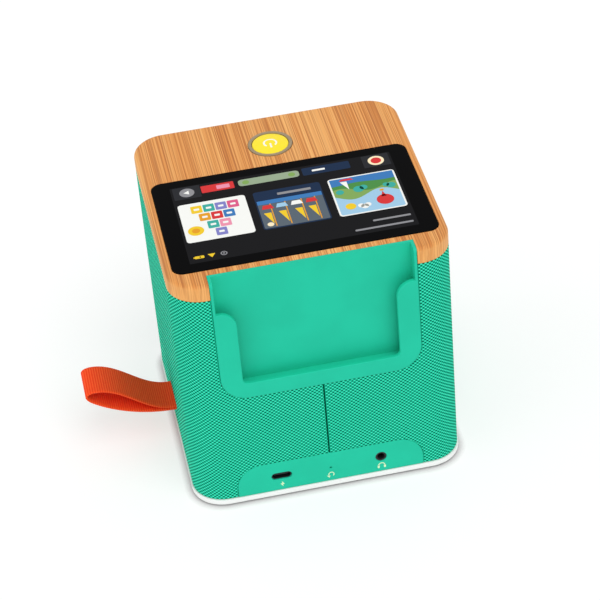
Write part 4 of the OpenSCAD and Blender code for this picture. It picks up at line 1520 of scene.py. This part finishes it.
@dataclass
class CardPocket:
    """The moulded card pocket: a back wall, a U-shaped lip and its window."""

    half: float = CASE.pocket_half
    low: float = CASE.pocket_z
    corner_r: float = CASE.pocket_r
    back_y: float = CASE.pocket_back_y
    recess_y: float = 56.5
    lip_y: float = 60.9
    face_y: float = CASE.face_y
    wall: float = 1.4
    window_half: float = 35.5
    sill_z: float = 68.2
    window_r: float = 2.5
    shoulder_z: float = 108.0
    shoulder_r: float = 7.5
    stop_z: float = 66.5
    top_z: float = CASE.top_z
    top_r: float = CASE.edge_r
    edge_r: float = 0.55
    window_edge_r: float = 0.45
    bend_steps: Triple = (0.5, 0.9, 1.2)
    ear_zs: Point = (73.0, 93.0)
    ear_half: float = 4.0
    ear_in: float = 44.15
    ear_out: float = 51.4
    ear_bevel: Point = (3.9, 0.85)

    def top_at(self, y: float) -> float:
        """Height of the pocket's open end, which follows the bamboo's round edge."""
        past = max(0.0, y - (self.face_y - self.top_r))
        return self.top_z - self.top_r + math.sqrt(self.top_r ** 2 - past ** 2)

    def whole(self, right: list[Array], y: float) -> Array:
        """Joins the right half's stretches and mirrors them.

        Args:
            right: stretches from the open end to the middle, end to end.
            y: the outline's depth.

        Returns:
            The whole outline in space.
        """
        half = np.concatenate([right[0]] + [r[1:] for r in right[1:]])
        mirrored = half[::-1][1:] * np.array([-1, 1])
        return lay(np.concatenate([half, mirrored]), Plane.XZ, y)

    def around(self, y: float, x: float, radius: float, floor_z: float) -> Array:
        """A U-shaped outline from one open end round to the other.

        Args:
            y: its depth.
            x: half its width.
            radius: radius of its lower corners.
            floor_z: lowest height, which cuts the corners flat.

        Returns:
            The outline's points, as many for any size.
        """
        centre = (self.half - self.corner_r, self.low + self.corner_r)
        knee = self.shoulder_z - self.shoulder_r
        corner = arc(centre, radius, 0, -90, 16)
        corner[:, 1] = np.maximum(corner[:, 1], floor_z)
        return self.whole([
            np.linspace((x, self.top_at(y)), (x, self.shoulder_z), 9),
            np.linspace((x, self.shoulder_z), (x, knee), 11),
            np.linspace((x, knee), (x, centre[1]), 7),
            corner, np.linspace((centre[0], floor_z), (0, floor_z), 6)], y)

    def outer(self, y: float, inset: float = 0.0) -> Array:
        """The pocket's outline, drawn in by an inset."""
        return self.around(y, self.half - inset, self.corner_r - inset, self.low + inset)

    def cavity(self, y: float) -> Array:
        """The room for the card: the outline less the wall, flat on its stop."""
        return self.around(y, self.half - self.wall, self.corner_r - self.wall, self.stop_z)

    def window(self, y: float, outset: float = 0.0) -> Array:
        """The lip's inner edge with its shoulders.

        Args:
            y: its depth.
            outset: how far it is widened.

        Returns:
            The outline's points, as many as the other outlines have.
        """
        x, inner = self.window_half + outset, self.half - self.wall + outset
        ledge_z, sill = self.shoulder_z - outset, self.sill_z - outset
        turn = (self.window_half + self.shoulder_r, self.shoulder_z - self.shoulder_r)
        corner = (self.window_half - self.window_r, self.sill_z + self.window_r)
        ledge = np.linspace((inner, ledge_z), (turn[0], ledge_z), 3)
        shoulder = arc(turn, self.shoulder_r - outset, 90, 180, 8)
        return self.whole([
            np.linspace((inner, self.top_at(y)), (inner, ledge_z), 9), ledge, shoulder,
            np.linspace((x, turn[1]), (x, corner[1]), 7),
            arc(corner, self.window_r + outset, 0, -90, 16),
            np.linspace((corner[0], sill), (0, sill), 6)], y)

    def ears(self, shell: Shell) -> None:
        """Adds the four ears that are screwed to the inside of the housing.

        Args:
            shell: the pocket's shell.
        """
        behind, front, (bevel_x, bevel_y) = CASE.flange_y, CASE.inner_y, self.ear_bevel
        section = np.array([
            (self.ear_in, behind), (self.ear_out, behind), (self.ear_out, front - bevel_y),
            (self.ear_out - bevel_x, front), (self.ear_in, front)])
        for z in self.ear_zs:
            for side in (1, -1):
                shell.prism(section * np.array([side, 1]), Plane.XY,
                            z - self.ear_half, z + self.ear_half)

    def build(self) -> bpy.types.Object:
        """Carries the lip's section round the U.

        Returns:
            The pocket: outer wall, rounded front edge, lip, rounded window edge,
            back of the lip, walls of the card's room, and the back wall.
        """
        ahead = self.face_y - self.top_r
        bend = [ahead + step for step in self.bend_steps]
        loops = [self.outer(y) for y in (self.back_y, self.recess_y, ahead, *bend)]
        loops += [self.outer(self.face_y - d, i) for i, d in quarter(self.edge_r)]
        loops += [self.window(self.face_y - d, i) for i, d in quarter(self.window_edge_r)[::-1]]
        loops += [self.window(y) for y in (*bend[::-1], self.lip_y)]
        loops += [self.cavity(y) for y in (self.lip_y, ahead, self.recess_y)]
        shell = Shell().loft(loops, closed=False)
        middle = len(loops[0]) // 2
        for flat in (loops[0], loops[-1]):
            shell.loft([flat[:middle + 1], flat[::-1][:middle + 1]], closed=False)
        ends = np.stack([loop[[0, -1]] for loop in loops])
        shell.cap(np.concatenate([ends[:, 0], ends[::-1, 1]]))
        self.ears(shell)
        piece = shell.build("card_pocket_moulding", sharp=35)
        even_normals(piece)
        return piece

    def dress(self, finish: bpy.types.Material) -> None:
        """Builds the pocket and sets it in place."""
        Piece(self.build(), finish, "mint_plastic", stands_for="card_pocket").settle()


@dataclass
class PortPanel:
    """The panel round the sockets, with its holes and printed signs."""

    half: float = CASE.panel_half
    low: float = CASE.rim_z
    high: float = CASE.panel_z
    corner_r: float = CASE.panel_r
    back_y: float = CASE.flange_y
    wall_y: float = CASE.inner_y
    face_y: float = CASE.face_y
    margin: float = 4.0
    edge_r: float = 0.35
    usb: tuple[float, float, float, float] = (22.8, 11.7, 9.54, 3.86)
    jack: Triple = (-23.6, 12.1, 2.6)
    reset: Triple = (0.0, 11.1, 0.6)
    pin_room: Point = (1.4, 58.9)
    eases: Triple = (0.22, 0.3, 0.15)
    sign_sunk: float = 0.01
    sign_lift: float = 0.04
    stroke: float = 0.4
    bolt_z: float = 7.0
    turn_z: float = 7.2
    turn_r: float = 1.4
    band_z: float = 6.9
    band_r: float = 1.7
    cup: Triple = (0.95, 1.7, 0.35)
    cup_at: Point = (1.45, -0.55)

    def outline(self, margin: float, inset: float = 0.0) -> Array:
        """The panel's outline: two round corners above, square ones below.

        Args:
            margin: how far it is widened at the sides and the top.
            inset: how far it is drawn in on every side.

        Returns:
            The foot's points and the two arcs.
        """
        x, z = self.half - self.corner_r, self.high - self.corner_r
        h, r, low = self.half + margin - inset, self.corner_r + margin - inset, self.low + inset
        return np.concatenate([np.linspace((-h, low), (h, low), 9),
                               arc((x, z), r, 0, 90, 16), arc((-x, z), r, 90, 180, 16)])

    def hole(self, loop: Callable[[float], Array], ease: float,
             ends: list[Point]) -> list[Array]:
        """A hole's wall, eased at the front by a quarter round.

        Args:
            loop: gives the hole's outline, grown by a number.
            ease: radius of the rounding.
            ends: (growth, y) of the rings behind it.

        Returns:
            Rings from the front to the back.
        """
        rings = [(grow, self.face_y - depth) for depth, grow in quarter(ease, 3)] + ends
        return [lay(loop(grow), Plane.XZ, y) for grow, y in rings]

    def holes(self) -> list[list[Array]]:
        """The walls of the charging, headphone and reset holes.

        Returns:
            One list of rings for each hole; the reset hole widens behind its pin-hole.
        """
        x, z, w, h = self.usb
        room_r, room_y = self.pin_room
        wider = room_r - self.reset[2]
        usb_ease, jack_ease, reset_ease = self.eases
        return [
            self.hole(lambda g: round_loop(w + 2 * g, h + 2 * g, h / 2 + g - 0.01, (x, z), 10),
                      usb_ease, [(0, self.back_y)]),
            self.hole(lambda g: circle_loop(self.jack[2] + g, self.jack[:2]),
                      jack_ease, [(0, self.back_y)]),
            self.hole(lambda g: circle_loop(self.reset[2] + g, self.reset[:2], 32),
                      reset_ease, [(0, room_y), (wider, room_y), (wider, self.back_y)])]

    def build(self) -> bpy.types.Object:
        """Stacks outlines and caps them round the holes.

        Returns:
            The panel: flange, wall and front edge with its quarter round.
        """
        steps = [(self.margin, 0, self.back_y), (self.margin, 0, self.wall_y),
                 (0, 0, self.wall_y)]
        steps += [(0, i, self.face_y - d) for i, d in quarter(self.edge_r)]
        outer = [lay(self.outline(margin, i), Plane.XZ, y) for margin, i, y in steps]
        holes = self.holes()
        shell = Shell().loft(outer)
        for wall in holes:
            shell.loft(wall)
        shell.cap(outer[-1], [wall[0] for wall in holes])
        shell.cap(outer[0], [wall[-1] for wall in holes])
        piece = shell.build("port_panel_moulding", sharp=35)
        even_normals(piece)
        return piece

    def signs(self) -> bpy.types.Object:
        """Prints a sign under each hole.

        Returns:
            A bolt, a round arrow and headphones, each a thin slab on the panel.
        """
        bolt = [(0.35, 1.6), (-1.0, -0.25), (-0.1, -0.25), (-0.35, -1.6), (1.0, 0.25),
                (0.1, 0.25)]
        tip = [(0.45, -0.75), (2.1, -0.5), (1.1, -1.9)]
        turn, band = (0.0, self.turn_z), (self.jack[0], self.band_z)
        outlines = [
            np.array(bolt) + np.array([self.usb[0], self.bolt_z]),
            np.concatenate([arc(turn, self.turn_r, -40, 230, 28),
                            arc(turn, self.turn_r - self.stroke, 230, -40, 28)]),
            np.array(tip) + np.array(turn),
            np.concatenate([arc(band, self.band_r, 0, 180, 20),
                            arc(band, self.band_r - self.stroke, 180, 0, 20)])]
        for side in (-1, 1):
            middle = (band[0] + side * self.cup_at[0], band[1] + self.cup_at[1])
            outlines.append(round_loop(*self.cup, middle, 4))
        shell = Shell()
        for outline in outlines:
            shell.prism(outline, Plane.XZ, self.face_y - self.sign_sunk,
                        self.face_y + self.sign_lift)
        return shell.build("port_signs", sharp=30)

    def dress(self, finish: bpy.types.Material, sign: bpy.types.Material) -> None:
        """Builds the panel and its signs and sets them in place."""
        Piece(self.build(), finish, "mint_plastic", stands_for="port_panel").settle()
        Piece(self.signs(), sign, "white_plastic").settle()


@dataclass
class InnerParts:
    """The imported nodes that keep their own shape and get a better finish."""

    finishes: dict[str, bpy.types.Material]

    def dress(self, groups: dict[str, list[str]]) -> None:
        """Gives each named node its group's finish.

        Args:
            groups: node names by the name of their finish.
        """
        for key, names in groups.items():
            for name in names:
                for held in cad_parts[name].material_slots:
                    held.material = self.finishes[key]
                log.info("%s: %s", name, self.finishes[key].name)


@dataclass
class Studio:
    """Camera, lamps, world and floor."""

    camera_at: Triple = (118.866, 853.702, 707.056)
    camera_turn: Triple = (53.0503, 4.2147, 168.7923)
    lens: float = 138.97
    clip: Point = (50.0, 30000.0)
    sky: float = 0.62
    key: float = 1.3
    key_turn: Triple = (-30.0, -10.0, 0.0)
    key_size: float = 44.0
    fill: float = 0.6
    fill_turn: Triple = (-12.0, 68.0, 0.0)
    fill_size: float = 70.0
    floor_size: float = 6000.0
    floor_matt: float = 0.5
    floor_glow: float = 0.52
    contact: float = 4.0
    contact_low: float = 0.45

    def camera(self) -> None:
        """Sets the camera at the photograph's viewing angle."""
        data = bpy.data.cameras.new("view")
        data.lens, data.sensor_width = self.lens, 36.0
        data.clip_start, data.clip_end = (end * MM for end in self.clip)
        camera = put("view", data)
        camera.location = Vector(self.camera_at) * MM
        camera.rotation_euler = Euler([math.radians(a) for a in self.camera_turn])
        bpy.context.scene.camera = camera

    def world(self) -> None:
        """Makes a surround that is white to the camera and dimmer as a light."""
        world = bpy.data.worlds.new("white_room")
        bpy.context.scene.world = world
        g = Nodes(world)
        path = g.node("LightPath").outputs
        seen = path["Is Camera Ray"]
        for name in ("Is Glossy Ray", "Is Transmission Ray"):
            seen = g.math("ADD", seen, path[name], clamp=True)
        g.fed(g.tree.nodes["Background"], Color=(1.0, 1.0, 1.0),
              Strength=g.span(seen, 0, 1, self.sky, 1.0, smooth=False))

    def lamp(self, name: str, power: float, size: float, turn: Triple) -> None:
        """Adds one wide soft lamp.

        Args:
            name: the lamp's name.
            power: its strength.
            size: its angular size in degrees.
            turn: its rotation in degrees; unturned, it shines straight down.
        """
        data = bpy.data.lights.new(name, "SUN")
        data.energy, data.angle = power, math.radians(size)
        put(name, data).rotation_euler = Euler([math.radians(a) for a in turn])

    def floor(self) -> None:
        """Lays a glowing white floor that keeps a wide soft and a narrow contact shadow."""
        h = self.floor_size * MM / 2
        mesh = bpy.data.meshes.new("studio_floor")
        mesh.from_pydata([(-h, -h, 0), (h, -h, 0), (h, h, 0), (-h, h, 0)], [], [(0, 1, 2, 3)])
        material = bpy.data.materials.new("white_paper")
        mesh.materials.append(material)
        g = Nodes(material)
        g.tree.nodes.remove(g.tree.nodes["Principled BSDF"])
        near = g.node("AmbientOcclusion", samples=8)
        near.inputs["Distance"].default_value = self.contact * MM
        below = g.node("NewGeometry").outputs["Backfacing"]
        clear = g.math("ADD", near.outputs["AO"], below, clamp=True)
        glow = g.fed(g.node("Emission"), Strength=g.span(
            clear, self.contact_low, 1, 0, self.floor_glow, smooth=False))
        matt = g.fed(g.node("BsdfDiffuse"), Color=(self.floor_matt,) * 3)
        both = g.node("AddShader")
        g.feed(both.inputs[0], matt)
        g.feed(both.inputs[1], glow)
        g.feed(g.tree.nodes["Material Output"].inputs["Surface"], both.outputs[0])
        put("studio_floor", mesh)

    def build(self) -> None:
        """Makes the studio with plain colour management."""
        bpy.context.scene.view_settings.view_transform = "Standard"
        self.camera()
        self.world()
        self.lamp("soft_key", self.key, self.key_size, self.key_turn)
        self.lamp("soft_fill", self.fill, self.fill_size, self.fill_turn)
        self.floor()


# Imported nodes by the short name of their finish.
GROUPS = {
    "white": ["base_cover"],
    "rubber": ["rubber_pad", "speaker_gaskets", "speaker_surrounds"],
    "steel": ["base_screws", "carrier_screws", "pocket_screws", "panel_screws",
              "port_board_screws", "clamp_screws", "main_board_screws", "tray_screws",
              "speaker_screws", "shield_can", "display_frame", "speaker_magnets"],
    # The usb socket's steel is darkened: painted shade for the inside of the slot.
    "port": ["usb_socket"],
    "grey": ["housing_shell", "top_carrier", "strap_clamp", "reset_button"],
    "dark": ["usb_tongue", "headphone_socket", "reset_switch", "button_switch",
             "button_stem", "battery_tray", "speaker_grilles", "speaker_frames",
             "display_panel"],
    "board": ["button_board", "card_reader_board", "port_board", "main_board"],
    "cell": ["battery_cells"],
    "cone": ["left_cone", "right_cone"],
}


def finishes() -> dict[str, bpy.types.Material]:
    """Builds every finish once.

    Returns:
        Materials by a short name.
    """
    made = {
        "cloth": SpacerMesh(), "bamboo": BambooWood(), "glass": BlackGlass(),
        "screen": LitScreen(), "webbing": Webbing(), "board": CircuitBoard(),
        "mint": Moulded("mint_moulding", srgb("1FC5A1"), 0.5, specular=0.12),
        "white": Moulded("white_moulding", srgb("F4F5F4"), 0.4, cloud=0.02),
        "print": Moulded("white_print", srgb("DDF7C8"), 0.55, cloud=0.03),
        "sign": Moulded("button_print", srgb("FBFBF2"), 0.5, cloud=0.02),
        "ring": Moulded("ring_moulding", srgb("9C8A6C"), 0.36, metallic=0.25),
        "yellow": Moulded("yellow_moulding", srgb("FFE51C"), 0.4, cloud=0.04),
        "rubber": Moulded("soft_rubber", srgb("3A3B3D"), 0.75, grain=3.5, depth=0.03),
        # Darkened steel: painted shade for the inside of the charging slot.
        "port": Moulded("port_steel_painted_shade", srgb("34393B"), 0.4, metallic=0.8),
        "steel": Moulded("brushed_steel", srgb("B9BBBE"), 0.3, metallic=1.0, grain=6.0),
        "grey": Moulded("housing_moulding", srgb("C9CBCC"), 0.5),
        "dark": Moulded("dark_moulding", srgb("1E1F21"), 0.45),
        "cell": Moulded("cell_wrap", srgb("3E74C4"), 0.3, cloud=0.1),
        "cone": Moulded("cone_paper", srgb("2B2B2D"), 0.8, grain=5.0, depth=0.05),
    }
    return {key: finish.make() for key, finish in made.items()}


def main() -> None:
    """Builds the studio and every visible piece in order."""
    logging.basicConfig(level=logging.INFO, format="%(name)s %(message)s")
    Studio().build()
    made = finishes()
    ClothSleeve().dress(made["cloth"])
    WebbingLoop().dress(made["webbing"])
    BambooTop().dress(made["bamboo"])
    CoverGlass().dress(made["glass"])
    ScreenPicture().dress(made["screen"])
    PushButton().dress(made["ring"], made["yellow"], made["sign"])
    CardPocket().dress(made["mint"])
    PortPanel().dress(made["mint"], made["print"])
    InnerParts(made).dress(GROUPS)


if __name__ == "__main__":
    main()
